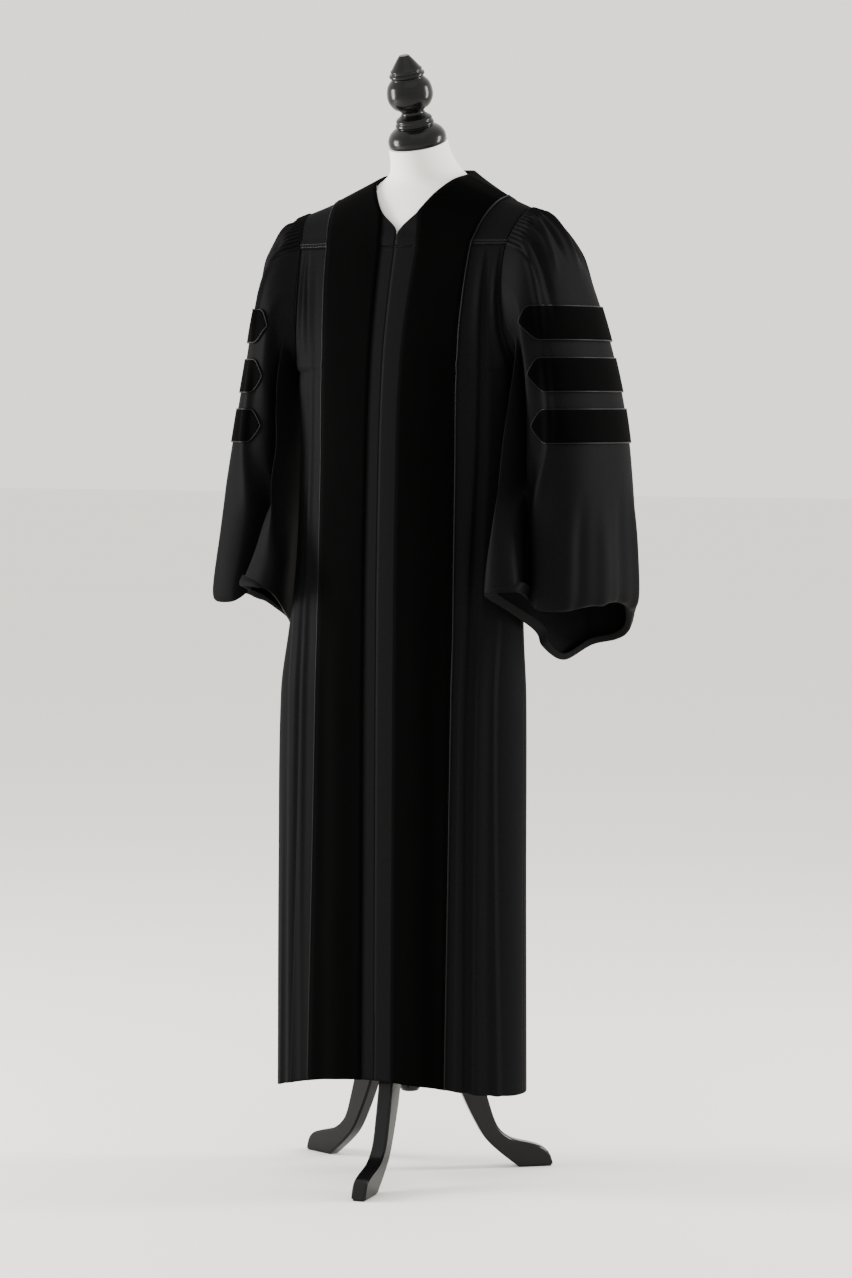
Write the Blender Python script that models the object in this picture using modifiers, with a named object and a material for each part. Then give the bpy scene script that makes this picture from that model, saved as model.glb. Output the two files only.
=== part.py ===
"""Graduation gown with velvet bands, on a limbless dress form and a three-legged stand.

Metres, +Z up. The gown faces -Y, and the wearer's left sleeve is at +X. Body walls are lofted
from sections of the hanging gown, sleeve walls from rings that turn from the armhole to the
open sleeve end, and everything laid on the cloth is made from the cloth's own points, moved out.
"""
import math

import bmesh
import bpy
from mathutils import Matrix, Vector

# Driving dimensions
CLOTH = 0.0014
VELVET = 0.0020
GAP = 0.0003
SEAM = 0.0004
CORD_RADIUS = 0.0015
STAND_Y = 0.0310

YOKE_HEIGHT = 1.530
BACK_YOKE_HEIGHT = 1.505
HEM_FRONT = 0.180
HEM_SIDES = {1: 0.158, -1: 0.138}
HEM_BACK = 0.160

# Body sections: height, centre front, side x on each side, side y, centre back, and the two
# powers that shape the quarter between centre and side
BODY_COLUMNS = ("height", "front_y", "left_x", "right_x", "side_y", "back_y", "fullness", "rounding")
BODY_SECTIONS = (
    (0.160, -0.157, 0.213, 0.231, -0.040, 0.106, 2.6, 0.42),
    (0.500, -0.153, 0.212, 0.230, -0.040, 0.102, 2.5, 0.43),
    (0.800, -0.150, 0.210, 0.228, -0.035, 0.098, 2.4, 0.45),
    (0.900, -0.148, 0.203, 0.216, -0.030, 0.100, 2.3, 0.46),
    (1.000, -0.146, 0.199, 0.203, -0.025, 0.104, 2.3, 0.47),
    (1.200, -0.139, 0.199, 0.199, -0.010, 0.120, 2.2, 0.48),
    (1.330, -0.133, 0.201, 0.201, 0.005, 0.133, 2.2, 0.50),
    (1.347, -0.131, 0.201, 0.201, 0.005, 0.135, 2.1, 0.60),
    (1.400, -0.119, 0.201, 0.201, 0.005, 0.139, 1.9, 0.80),
    (1.470, -0.099, 0.201, 0.201, 0.005, 0.141, 1.8, 0.90),
    (1.530, -0.082, 0.201, 0.201, 0.005, 0.141, 1.7, 1.00),
)
BACK_FULLNESS = 2.0
BACK_ROUNDING = 0.62

# Lines down each front: velvet band's inner and outer edges, and the two knife pleats' edges
LINE_COLUMNS = ("height", "strip", "band", "pleat_1", "pleat_2")
FRONT_LINES = {
    "left": (
        (0.160, 0.030, 0.122, 0.148, 0.196),
        (0.850, 0.031, 0.128, 0.147, 0.186),
        (1.340, 0.031, 0.125, 0.155, 0.190),
        (1.530, 0.038, 0.131, 0.155, 0.184),
    ),
    "right": (
        (0.160, 0.024, 0.128, 0.166, 0.200),
        (0.850, 0.023, 0.115, 0.148, 0.190),
        (1.340, 0.023, 0.118, 0.150, 0.190),
        (1.530, 0.027, 0.131, 0.164, 0.184),
    ),
}
# How far across the front each line runs, which sets the slope of the rows there
LINE_PLACES = {"strip": 0.2, "band": 0.6, "pleat_1": 0.7, "pleat_2": 0.9}
BAND_SHARES = (0.33, 0.67)
PLEAT_RISE = 0.0030
PLEAT_DROP = 0.0040
PLEAT_STEP = 0.0035
PLEAT_DIP = 0.0005
PLEAT_FADE = 0.06
PLEAT_SPACE = 0.0150
SIDE_SPACE = 0.0080
SIDE_STEPS = (0.28, 0.55, 0.80, 1.0)
BAND_COLUMNS = (2, 3, 4, 5)
CORD_COLUMN = 6
TAPE_THICKNESS = 0.0010

# Rails of the yoke, front seam to shoulder: neckline, band's inner edge, band's outer edge
NECK_RAIL = (
    (0.00, 0.0004, -0.0820, 1.530),
    (0.15, 0.0030, -0.0720, 1.557),
    (0.40, 0.0325, -0.0645, 1.586),
    (0.60, 0.0520, -0.0450, 1.614),
    (0.80, 0.0690, -0.0130, 1.637),
    (1.00, 0.0770, 0.0280, 1.648),
)
BAND_RAIL = (
    (0.00, 0.1310, -0.0680, 1.530),
    (0.30, 0.1380, -0.0530, 1.561),
    (0.55, 0.1440, -0.0330, 1.584),
    (0.78, 0.1500, -0.0090, 1.6015),
    (1.00, 0.1550, 0.0180, 1.6110),
)
BAND_MEETS_NECK = 0.40
BACK_NECK_RAIL = (
    (0.00, 0.0770, 0.0280, 1.648),
    (0.35, 0.0700, 0.0660, 1.656),
    (0.65, 0.0420, 0.0930, 1.660),
    (1.00, 0.0004, 0.1030, 1.662),
)
BACK_BAND_RAIL = (
    (0.00, 0.1550, 0.0180, 1.6110),
    (0.30, 0.1480, 0.0640, 1.6010),
    (0.60, 0.1080, 0.1080, 1.5840),
    (0.80, 0.0580, 0.1300, 1.5730),
    (1.00, 0.0004, 0.1360, 1.5700),
)
YOKE_PLACES = (0.0, 0.15, 0.28, 0.40, 0.60, 0.80, 1.0)
BACK_YOKE_PLACES = (0.0, 0.16, 0.32, 0.46, 0.62, 0.80, 1.0)
BACK_CORNER_PLACE = 0.46
OUTER_SHARES = (0.34, 0.67, 1.0)

# Armhole seam, from the shoulder tip down the front, under the arm and up the back
ARMHOLE = (
    (0.2015, 0.010, 1.5915),
    (0.1970, -0.028, 1.573),
    (0.1870, -0.058, 1.530),
    (0.1860, -0.073, 1.480),
    (0.1870, -0.077, 1.435),
    (0.1900, -0.072, 1.390),
    (0.1950, -0.055, 1.357),
    (0.1990, -0.028, 1.338),
    (0.2010, 0.005, 1.330),
    (0.1985, 0.050, 1.343),
    (0.1910, 0.086, 1.385),
    (0.1870, 0.096, 1.445),
    (0.1870, 0.088, 1.505),
    (0.1970, 0.052, 1.568),
)
CONTROLS = len(ARMHOLE)
FRONT_CORNER = 2
UNDERARM = 8
BACK_CORNER = 12
HALVINGS = 24

# Sleeve rings below the head: inner and outer points, depth, and the front's ridge, valley and
# flap, each as a part of the way from inner to outer and a depth
RING_COLUMNS = (
    "inner_x", "inner_z", "outer_x", "outer_z", "mid_y", "front_y", "back_y",
    "ridge_p", "ridge_y", "valley_p", "valley_y", "flap_p", "flap_y",
)
SLEEVE_RINGS = (
    (0.2045, 1.322, 0.232, 1.577, 0.012, -0.088, 0.106, 0.42, -0.087, 0.28, -0.078, 0.15, -0.064),
    (0.2065, 1.298, 0.264, 1.532, 0.020, -0.093, 0.124, 0.38, -0.093, 0.25, -0.068, 0.12, -0.084),
    (0.2075, 1.262, 0.291, 1.455, 0.030, -0.089, 0.144, 0.33, -0.088, 0.19, -0.048, 0.04, -0.099),
    (0.2080, 1.212, 0.314, 1.365, 0.038, -0.084, 0.160, 0.27, -0.082, 0.14, -0.038, -0.02, -0.108),
    (0.2085, 1.150, 0.333, 1.268, 0.044, -0.086, 0.170, 0.22, -0.080, 0.11, -0.034, -0.03, -0.120),
    (0.2090, 1.090, 0.345, 1.165, 0.044, -0.096, 0.176, 0.24, -0.088, 0.17, -0.044, -0.035, -0.138),
    (0.2095, 1.030, 0.352, 1.070, 0.038, -0.111, 0.180, 0.32, -0.099, 0.27, -0.066, -0.04, -0.158),
    (0.2110, 0.980, 0.358, 0.995, 0.030, -0.124, 0.180, 0.39, -0.110, 0.35, -0.086, -0.04, -0.171),
    (0.2130, 0.940, 0.350, 0.940, 0.028, -0.120, 0.168, 0.40, -0.108, 0.37, -0.090, -0.03, -0.170),
)
# Height of the sleeve's lower edge at each of the ring's points, outer point first, front next
SLEEVE_HEM = (
    0.956, 0.956, 0.948, 0.949, 0.951, 0.968, 0.984,
    0.912, 0.882, 0.858, 0.880, 0.888, 0.906, 0.940,
)
HEM_RINGS = 2
HEM_TURN_IN = 0.015
HEM_TURN_UP = 0.009
RIGHT_SLEEVE_SHIFT = 0.014
SHIFT_FIRST_RING = 3
SHIFT_RINGS = 4
SHIFT_OUTER = 0.6

FLUTE_SEGMENTS = (12, 13, 0, 1)
FLUTES_PER_SEGMENT = 7
FLUTE_RISE = 0.0016
FLUTE_ROWS = ((0.0, 0.0), (0.30, 1.0), (0.75, 0.8))
RING_STEPS = 3
ACROSS_STEP = 0.15
ALONG_STEP = 0.4

# Sleeve bars: height of the middle, first and last ring point, and how far it stands off the
# sleeve, which is more where the sleeve bends behind it
BAR_COLUMNS = ("height", "front_end", "back_end", "stand_off")
SLEEVE_BARS = (
    (1.404, 3.67, -3.0, 0.0016),
    (1.322, 3.67, -3.0, 0.0008),
    (1.240, 3.67, -3.0, 0.0008),
)
BAR_HALF_HEIGHT = 0.027
BAR_END_SHARES = (0.06, 0.80, 1.0)

# Heights of the rows at the sides: above the underarm for fronts and back, and down the side seam
FRONT_ARM_ROWS = (YOKE_HEIGHT - SEAM, 1.480, 1.435, 1.390, 1.357, 1.338)
BACK_ARM_ROWS = (BACK_YOKE_HEIGHT - SEAM, 1.475, 1.445, 1.385, 1.343)
SIDE_ROWS = (1.329, 1.200, 1.010, 0.830, 0.640, 0.450, 0.280)
BACK_GATHERS = 10
GATHER_DEPTH = 0.0050
GATHER_REACH = 0.165
GATHER_STEPS = 4
GATHER_FADE = 0.03
GATHER_SPREAD = 0.10
GATHER_SIDE_SPACE = 0.012
BACK_SIDE_STEPS = (0.35, 0.7, 1.0)
BODY_AXIS_Y = 0.01
YOKE_UPWARD = 0.05
SIDE_NAMES = {1: "left", -1: "right"}


def smooth(keys, values, place):
    """Value at a place on a smooth curve through values at rising keys."""
    place = min(max(place, keys[0]), keys[-1])
    last = len(keys) - 1
    first = max(index for index in range(last) if keys[index] <= place)
    span = keys[first + 1] - keys[first]
    part = (place - keys[first]) / span

    def slope(index):
        low, high = max(index - 1, 0), min(index + 1, last)
        return (values[high] - values[low]) * (1.0 / (keys[high] - keys[low]))

    square, cube = part * part, part ** 3
    return (
        values[first] * (2 * cube - 3 * square + 1)
        + slope(first) * (span * (cube - 2 * square + part))
        + values[first + 1] * (3 * square - 2 * cube)
        + slope(first + 1) * (span * (cube - square))
    )


def column(rows, names, name, place):
    """A named column of a table, read smoothly at a place in its first column."""
    index = names.index(name)
    return smooth([row[0] for row in rows], [row[index] for row in rows], place)


def rail(rows, place):
    """A point on a rail: rows of place, x, y, z."""
    return smooth([row[0] for row in rows], [Vector(row[1:]) for row in rows], place)


def closed_curve(points, place):
    """A point on a smooth closed curve through the points; the place counts points."""
    count = len(points)
    first = math.floor(place)
    part = place - first
    before, start, end, after = (points[(first + step) % count] for step in (-1, 0, 1, 2))
    return 0.5 * (
        2 * start
        + (end - before) * part
        + (2 * before - 5 * start + 4 * end - after) * part ** 2
        + (3 * start - before - 3 * end + after) * part ** 3
    )


# Objects and materials

def fresh_collection():
    """Empty scene with one collection for the gown and its stand."""
    for thing in list(bpy.data.objects):
        bpy.data.objects.remove(thing, do_unlink=True)
    group = bpy.data.collections.new("graduation_gown")
    bpy.context.scene.collection.children.link(group)
    return group


GROUP = fresh_collection()


def finish(name):
    """A new material: colour, roughness, metallic value, sheen and coat."""
    shades = {
        "cloth": ((0.012, 0.012, 0.013), 0.75, 0.25, 0.0),
        "velvet": ((0.003, 0.003, 0.003), 0.95, 0.40, 0.0),
        "cord": ((0.005, 0.005, 0.006), 0.45, 0.0, 0.0),
        "form": ((0.78, 0.77, 0.74), 0.70, 0.1, 0.0),
        "lacquer": ((0.008, 0.008, 0.008), 0.22, 0.0, 0.6),
        "zip": ((0.010, 0.010, 0.010), 0.50, 0.0, 0.0),
    }
    colour, roughness, sheen, coat = shades[name]
    material = bpy.data.materials.new(name)
    material.use_nodes = True
    shader = material.node_tree.nodes["Principled BSDF"]
    shader.inputs["Base Color"].default_value = (*colour, 1.0)
    shader.inputs["Roughness"].default_value = roughness
    shader.inputs["Metallic"].default_value = 0.0
    shader.inputs["Sheen Weight"].default_value = sheen
    shader.inputs["Coat Weight"].default_value = coat
    return material


def add_object(name, mesh, material):
    """Link a mesh as a named object, moved so that the whole part is centred over its origin."""
    thing = bpy.data.objects.new(name, mesh)
    mesh.materials.append(finish(material))
    thing.location.y = STAND_Y
    GROUP.objects.link(thing)
    return thing


def mesh_from_faces(name, points, faces):
    """A mesh of points and faces, with meeting points joined and every face turned out."""
    work = bmesh.new()
    corners = [work.verts.new(point) for point in points]
    for face in faces:
        work.faces.new([corners[index] for index in face])
    bmesh.ops.remove_doubles(work, verts=work.verts, dist=1e-6)
    bmesh.ops.recalc_face_normals(work, faces=work.faces)
    mesh = bpy.data.meshes.new(name)
    work.to_mesh(mesh)
    work.free()
    return mesh


# Cloth walls

def nearest_step(points, index, step):
    """The next point in one direction that lies apart from this one, or the point itself."""
    place = index + step
    while 0 <= place < len(points):
        if (points[place] - points[index]).length > 1e-5:
            return points[place]
        place += step
    return points[index]


def levelled(normals):
    """Normals turned level, so that the walls above and below a level seam meet squarely."""
    return [Vector((normal.x, normal.y, 0.0)).normalized() for normal in normals]


def moved_out(rows, normals, lift):
    """A grid moved out along its normals."""
    return [
        [point + normal * lift for point, normal in zip(row, line)]
        for row, line in zip(rows, normals)
    ]


def wall(name, rows, normals, thickness, material, turn_row=None):
    """A closed wall of cloth: the grid is its outer face, and the inner one lies behind it.

    From the turn row on, the cells are split the other way, as a mirrored half needs.
    """
    width, height = len(rows[0]), len(rows)
    inner = moved_out(rows, normals, -thickness)
    points = [point for row in rows for point in row] + [point for row in inner for point in row]
    back = width * height
    faces = []
    for row in range(height - 1):
        for index in range(width - 1):
            corner = row * width + index
            one, two, three, four = corner, corner + 1, corner + width + 1, corner + width
            if turn_row is not None and row >= turn_row:
                halves = ((one, two, four), (two, three, four))
            else:
                halves = ((one, two, three), (one, three, four))
            for half in halves:
                faces.append(half)
                faces.append(tuple(place + back for place in reversed(half)))
    edge = [index for index in range(width)]
    edge += [row * width + width - 1 for row in range(1, height)]
    edge += [(height - 1) * width + index for index in reversed(range(width - 1))]
    edge += [row * width for row in reversed(range(1, height - 1))]
    for here, there in zip(edge, edge[1:] + edge[:1]):
        faces.append((there, here, here + back, there + back))
    return add_object(name, mesh_from_faces(name, points, faces), material)


def cord(name, path, radius, material):
    """A cord along a path, as a bevelled line of short straight runs."""
    curve = bpy.data.curves.new(name, "CURVE")
    curve.dimensions = "3D"
    curve.bevel_depth = radius
    curve.bevel_resolution = 1
    curve.use_fill_caps = True
    line = curve.splines.new("POLY")
    line.points.add(len(path) - 1)
    for target, point in zip(line.points, path):
        target.co = (*point, 1.0)
    curve.materials.append(finish(material))
    thing = bpy.data.objects.new(name, curve)
    thing.location.y = STAND_Y
    GROUP.objects.link(thing)


# The body's sections

def armhole_points(sign):
    """The armhole seam's points, on the wearer's left (1) or right (-1)."""
    return [Vector((sign * x, y, z)) for x, y, z in ARMHOLE]


def armhole_at(height, first, last):
    """Where the armhole seam passes a height, between two of its points."""
    points = armhole_points(1)
    low, high = sorted((first, last), key=lambda place: points[place].z)
    for _ in range(HALVINGS):
        middle = 0.5 * (low + high)
        if closed_curve(points, middle).z < height:
            low = middle
        else:
            high = middle
    return closed_curve(points, middle)


def section_edge(sign, height, front):
    """Where a body section ends: at the side seam, or above it at the armhole."""
    if height > ARMHOLE[UNDERARM][2]:
        corner = FRONT_CORNER if front else BACK_CORNER
        point = armhole_at(height, UNDERARM, corner)
        return point.x, point.y
    side = "left_x" if sign > 0 else "right_x"
    half_gap = -0.5 * SEAM if front else 0.5 * SEAM
    return (
        column(BODY_SECTIONS, BODY_COLUMNS, side, height),
        column(BODY_SECTIONS, BODY_COLUMNS, "side_y", height) + half_gap,
    )


def section_powers(height, front):
    """The two powers that shape a section between its middle and its side."""
    if not front:
        return BACK_FULLNESS, BACK_ROUNDING
    return (
        column(BODY_SECTIONS, BODY_COLUMNS, "fullness", height),
        column(BODY_SECTIONS, BODY_COLUMNS, "rounding", height),
    )


def section_depth(x, height, edge, front):
    """How far forward or back the body lies at a distance from its middle."""
    edge_x, edge_y = edge
    middle = column(BODY_SECTIONS, BODY_COLUMNS, "front_y" if front else "back_y", height)
    fullness, rounding = section_powers(height, front)
    part = max(0.0, 1.0 - min(1.0, x / edge_x) ** fullness)
    return edge_y + (middle - edge_y) * part ** rounding


def hem_height(sign, part):
    """Height of the hem at a part of the way from the middle to the side."""
    return HEM_FRONT + (HEM_SIDES[sign] - HEM_FRONT) * part ** 2


def body_point(sign, x, height, edge, front, rise=0.0):
    """A point of the body's outer face; the rise lifts it off the section."""
    y = section_depth(x, height, edge, front) + (-rise if front else rise)
    return Vector((sign * x, y, height))


def side_x(height, edge, first_x, part, front):
    """Even steps round the curve from one distance out to the section's edge."""
    power = section_powers(height, front)[0] / 2
    first = math.asin(min(1.0, (first_x / edge[0]) ** power))
    angle = first + (math.pi / 2 - first) * part
    return edge[0] * math.sin(angle) ** (1 / power)


def front_row(sign, side_height):
    """One row of a front, centre to side, at a height of its side edge."""
    lines = FRONT_LINES[SIDE_NAMES[sign]]
    top = YOKE_HEIGHT - SEAM
    part = (side_height - HEM_SIDES[sign]) / (top - HEM_SIDES[sign])
    pressed = min(1.0, (1.0 - part) / PLEAT_FADE)

    def at(place):
        low = hem_height(sign, place)
        return low + part * (top - low)

    def line(name):
        return column(lines, LINE_COLUMNS, name, at(LINE_PLACES[name]))

    reach = section_edge(sign, at(1.0), True)[0]
    strip, band = line("strip"), line("band")
    pleat_2 = min(line("pleat_2"), reach - SIDE_SPACE)
    pleat_1 = min(line("pleat_1"), pleat_2 - PLEAT_SPACE)
    step = PLEAT_STEP
    flat = [GAP * 1.5, 0.5 * strip, strip]
    flat += [strip + (band - strip) * share for share in BAND_SHARES]
    flat += [band - CORD_RADIUS - GAP, band, 0.5 * (band + pleat_1)]
    folds = [
        (pleat_1, PLEAT_RISE), (pleat_1 + step, -PLEAT_DROP),
        (0.5 * (pleat_1 + step + pleat_2), -PLEAT_DIP),
        (pleat_2, PLEAT_RISE), (pleat_2 + step, -PLEAT_DROP),
    ]
    row = []
    for x, rise in [(x, 0.0) for x in flat] + folds:
        height = at(x / reach)
        row.append(body_point(sign, x, height, section_edge(sign, height, True), True, rise * pressed))
    for share in SIDE_STEPS:
        height = at(1.0)
        edge = section_edge(sign, height, True)
        x = side_x(height, edge, pleat_2 + step, share, True)
        rise = -PLEAT_DROP * pressed * (1.0 - share)
        row.append(body_point(sign, x, height, edge, True, rise))
    return row


def side_normal(sign, edge_column):
    """Square to the side seam, so that the walls beside it stay parallel."""
    def fixed(row, index):
        return Vector((sign, 0.0, 0.0)) if index == edge_column and row <= len(SIDE_ROWS) else None
    return fixed


def body_normals(rows, fixed=None, before=None, after=None):
    """Normals of a grid on the body, facing away from its axis; the rows before and after it
    carry the slope past its ends, and fixed names the normals that are set."""
    tall = ([before] if before else []) + rows + ([after] if after else [])
    start = 1 if before else 0
    normals = []
    for row, points in enumerate(rows):
        line = []
        for index, point in enumerate(points):
            across = nearest_step(points, index, 1) - nearest_step(points, index, -1)
            file = [each[index] for each in tall]
            along = nearest_step(file, row + start, 1) - nearest_step(file, row + start, -1)
            normal = across.cross(along).normalized()
            upward = YOKE_UPWARD if point.z > YOKE_HEIGHT else 0.0
            if normal.dot(Vector((point.x, point.y - BODY_AXIS_Y, upward))) < 0:
                normal.negate()
            line.append(fixed(row, index) or normal if fixed else normal)
        normals.append(line)
    return normals


# Yokes

def mirrored(point, sign):
    """A point for the given side."""
    return Vector((sign * point.x, point.y, point.z))


def yoke_ray(sign, inner, strip, band, outer):
    """One ray of a yoke, from the neckline out past the band's edge to the outer seam."""
    width = band - strip
    length = max(width.length, 1e-6)
    bed = width * ((CORD_RADIUS + GAP) / length)
    ray = [inner, inner.lerp(strip, 0.5), strip]
    ray += [strip + width * share for share in BAND_SHARES]
    ray += [band - bed, band]
    ray += [band.lerp(outer, share) for share in OUTER_SHARES]
    return [mirrored(point, sign) for point in ray]


def front_yoke_rays(sign):
    """Rays of a front yoke, from the yoke seam up to the shoulder."""
    edge = section_edge(sign, YOKE_HEIGHT, True)
    lines = FRONT_LINES[SIDE_NAMES[sign]]
    seam_strip = column(lines, LINE_COLUMNS, "strip", YOKE_HEIGHT)
    low_strip = body_point(1, seam_strip, YOKE_HEIGHT, edge, True)
    meeting = rail(NECK_RAIL, BAND_MEETS_NECK)
    rays = []
    for place in YOKE_PLACES:
        inner = rail(NECK_RAIL, place)
        band = rail(BAND_RAIL, place)
        outer = closed_curve(armhole_points(1), FRONT_CORNER * (1.0 - place))
        strip = low_strip.lerp(meeting, place / BAND_MEETS_NECK)
        if place >= BAND_MEETS_NECK:
            strip = inner
        ray = yoke_ray(sign, inner, strip, band, outer - Vector((SEAM, 0, 0)))
        if place == 0.0:
            ray = [body_point(sign, abs(point.x), YOKE_HEIGHT, edge, True) for point in ray]
        rays.append(ray)
    return rays


def back_seam_point(x):
    """A point of the back yoke's lower seam."""
    edge = section_edge(1, BACK_YOKE_HEIGHT, False)
    return body_point(1, x, BACK_YOKE_HEIGHT, edge, False)


def back_yoke_rays(sign):
    """Rays of half a back yoke, from the shoulder round to the middle of the back."""
    corner_x = closed_curve(armhole_points(1), BACK_CORNER).x
    rays = []
    for place in BACK_YOKE_PLACES:
        inner = rail(BACK_NECK_RAIL, place)
        band = rail(BACK_BAND_RAIL, place)
        if place < BACK_CORNER_PLACE:
            count = CONTROLS - (CONTROLS - BACK_CORNER) * place / BACK_CORNER_PLACE
            outer = closed_curve(armhole_points(1), count) - Vector((SEAM, 0, 0))
        else:
            share = (1.0 - place) / (1.0 - BACK_CORNER_PLACE)
            outer = back_seam_point(max(GAP * 1.5, share * (corner_x - SEAM)))
        ray = yoke_ray(sign, inner, inner, band, outer)
        if place == 0.0:
            ray = [point + Vector((0, SEAM, 0)) for point in ray]
        rays.append(ray)
    return rays


# Fronts, yokes, velvet bands and the cords along them

def front_panel(sign):
    """Points and normals of a front panel's outer face, hem first."""
    side_rows = SIDE_ROWS + (HEM_SIDES[sign],)
    panel = [front_row(sign, height) for height in reversed(FRONT_ARM_ROWS + side_rows)]
    normals = body_normals(panel, side_normal(sign, len(panel[0]) - 1))
    normals[-1] = levelled(normals[-1])
    return panel, normals


def build_front(sign):
    """A front panel with its knife pleats, its yoke, and the velvet band and cord on both."""
    side = SIDE_NAMES[sign]
    panel, panel_normals = front_panel(sign)
    wall("front_" + side, panel, panel_normals, CLOTH, "cloth")

    rays = front_yoke_rays(sign)
    behind = back_yoke_rays(sign)
    yoke_normals = body_normals(rays, after=behind[1])
    yoke_normals[0] = levelled(yoke_normals[0])
    wall("front_yoke_" + side, rays, yoke_normals, CLOTH, "cloth")
    behind_normals = body_normals(behind, before=rays[-2])

    first, last = BAND_COLUMNS[0], CORD_COLUMN
    upward = list(zip(panel[:-1], panel_normals[:-1]))
    upward += list(zip(rays, yoke_normals)) + list(zip(behind[1:], behind_normals[1:]))
    rows = [row[first:last + 1] for row, line in upward]
    normals = [line[first:last + 1] for row, line in upward]
    velvet = [row[:-1] for row in moved_out(rows, normals, GAP + VELVET)]
    for point in velvet[-1]:
        point.x = sign * max(abs(point.x), 1.5 * GAP)
    wall("velvet_band_" + side, velvet, [line[:-1] for line in normals], VELVET, "velvet")
    lift = CORD_RADIUS + GAP
    path = [row[-1] + line[-1] * lift for row, line in zip(rows, normals)]
    cord("band_cord_" + side, path, CORD_RADIUS, "cord")


def build_zip_tape():
    """The concealed zip's tape, behind the fronts' meeting edges from above the hem to the yoke."""
    left, right = front_panel(1), front_panel(-1)
    rows = [a[1::-1] + b[:2] for a, b in zip(left[0][1:], right[0][1:])]
    normals = [a[1::-1] + b[:2] for a, b in zip(left[1][1:], right[1][1:])]
    wall("zip_tape", moved_out(rows, normals, -(CLOTH + GAP)), normals, TAPE_THICKNESS, "zip")


def build_back_yoke():
    """The back yoke in one piece, from shoulder seam to shoulder seam."""
    left, right = back_yoke_rays(1), back_yoke_rays(-1)
    for ray in (left[-1], right[-1]):
        for point in ray:
            point.x = 0.0
    rays = left + list(reversed(right[:-1]))
    normals = body_normals(rays, before=front_yoke_rays(1)[-2], after=front_yoke_rays(-1)[-2])
    for line, ray in zip(normals, rays):
        if ray[-1].z < BACK_YOKE_HEIGHT + SEAM:
            line[-1] = levelled([line[-1]])[0]
    wall("back_yoke", rays, normals, CLOTH, "cloth", turn_row=len(left) - 1)


def back_half(sign, height):
    """Half a row of the back, from the middle out to the side, gathered under the yoke."""
    part = (height - HEM_BACK) / (BACK_YOKE_HEIGHT - SEAM - HEM_BACK)
    drop = HEM_BACK - HEM_SIDES[sign] if height == HEM_BACK else 0.0
    edge = section_edge(sign, height, False)
    pressed = min(1.0, (1.0 - part) / GATHER_FADE)
    spread = 1.0 + GATHER_SPREAD * (1.0 - part)
    row = []
    steps = BACK_GATHERS * GATHER_STEPS // 2
    reach = min(GATHER_REACH * spread, edge[0] - GATHER_SIDE_SPACE)
    for step in range(steps + 1):
        x = reach * step / steps
        wave = math.cos(2 * math.pi * step / GATHER_STEPS)
        fade = 1.0 if step < steps else 0.0
        rise = GATHER_DEPTH * wave * pressed * fade
        row.append(body_point(sign, x, height - drop * (x / edge[0]) ** 2, edge, False, rise))
    for share in BACK_SIDE_STEPS:
        x = side_x(height, edge, reach, share, False)
        row.append(body_point(sign, x, height - drop * (x / edge[0]) ** 2, edge, False))
    return row


def build_back():
    """The back in one piece, hung from the back yoke's seam between the side seams."""
    rows = []
    for height in BACK_ARM_ROWS + SIDE_ROWS + (HEM_BACK,):
        left, right = back_half(1, height), back_half(-1, height)
        rows.append(list(reversed(left)) + right[1:])
    last = len(rows[0]) - 1

    def fixed(row, index):
        if row >= len(BACK_ARM_ROWS) and index in (0, last):
            return Vector((1.0 if index == 0 else -1.0, 0.0, 0.0))
        return None

    normals = body_normals(rows, fixed)
    normals[0] = levelled(normals[0])
    wall("back", rows, normals, CLOTH, "cloth")


# Sleeves

def sleeve_rings(sign):
    """The sleeve's rings, armhole first: each a closed row of fourteen points."""
    rings = [[point + Vector((SEAM * 1.5, 0, 0)) for point in armhole_points(1)]]
    count = len(SLEEVE_RINGS)
    for index, row in enumerate(SLEEVE_RINGS):
        ring = dict(zip(RING_COLUMNS, row))
        shift = 0.0
        if sign < 0:
            share = (index - SHIFT_FIRST_RING) / SHIFT_RINGS
            shift = RIGHT_SLEEVE_SHIFT * min(1.0, max(0.0, share))
        inner = Vector((ring["inner_x"] + shift, ring["mid_y"], ring["inner_z"]))
        outer = Vector((ring["outer_x"] + SHIFT_OUTER * shift, ring["mid_y"], ring["outer_z"]))
        front = ring["front_y"] - ring["mid_y"]
        back = ring["back_y"] - ring["mid_y"]
        places = (
            (1.0, 0.0), (0.93, 0.5 * front), (0.75, 0.87 * front), (0.52, front),
            (ring["ridge_p"], ring["ridge_y"] - ring["mid_y"]),
            (ring["valley_p"], ring["valley_y"] - ring["mid_y"]),
            (ring["flap_p"], ring["flap_y"] - ring["mid_y"]),
            (0.02, 0.28 * front), (0.0, 0.0), (0.05, 0.5 * back), (0.25, 0.87 * back),
            (0.5, back), (0.75, 0.87 * back), (0.93, 0.5 * back),
        )
        points = [inner.lerp(outer, share) + Vector((0, depth, 0)) for share, depth in places]
        fall = max(0.0, (index - (count - 1 - HEM_RINGS)) / HEM_RINGS)
        for point, low in zip(points, SLEEVE_HEM):
            point.z += fall * (low - point.z)
        rings.append(points)
    last = rings[-1]
    middle = sum(last, Vector()) / len(last)
    turned = []
    for point in last:
        inward = Vector((middle.x - point.x, middle.y - point.y, 0.0)).normalized()
        turned.append(point + inward * HEM_TURN_IN + Vector((0, 0, HEM_TURN_UP)))
    rings.append(turned)
    return [[mirrored(point, sign) for point in ring] for ring in rings]


def ring_at(rings, level):
    """The ring's points at a level between rings."""
    keys = list(range(len(rings)))
    return [smooth(keys, [ring[index] for ring in rings], level) for index in range(CONTROLS)]


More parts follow.
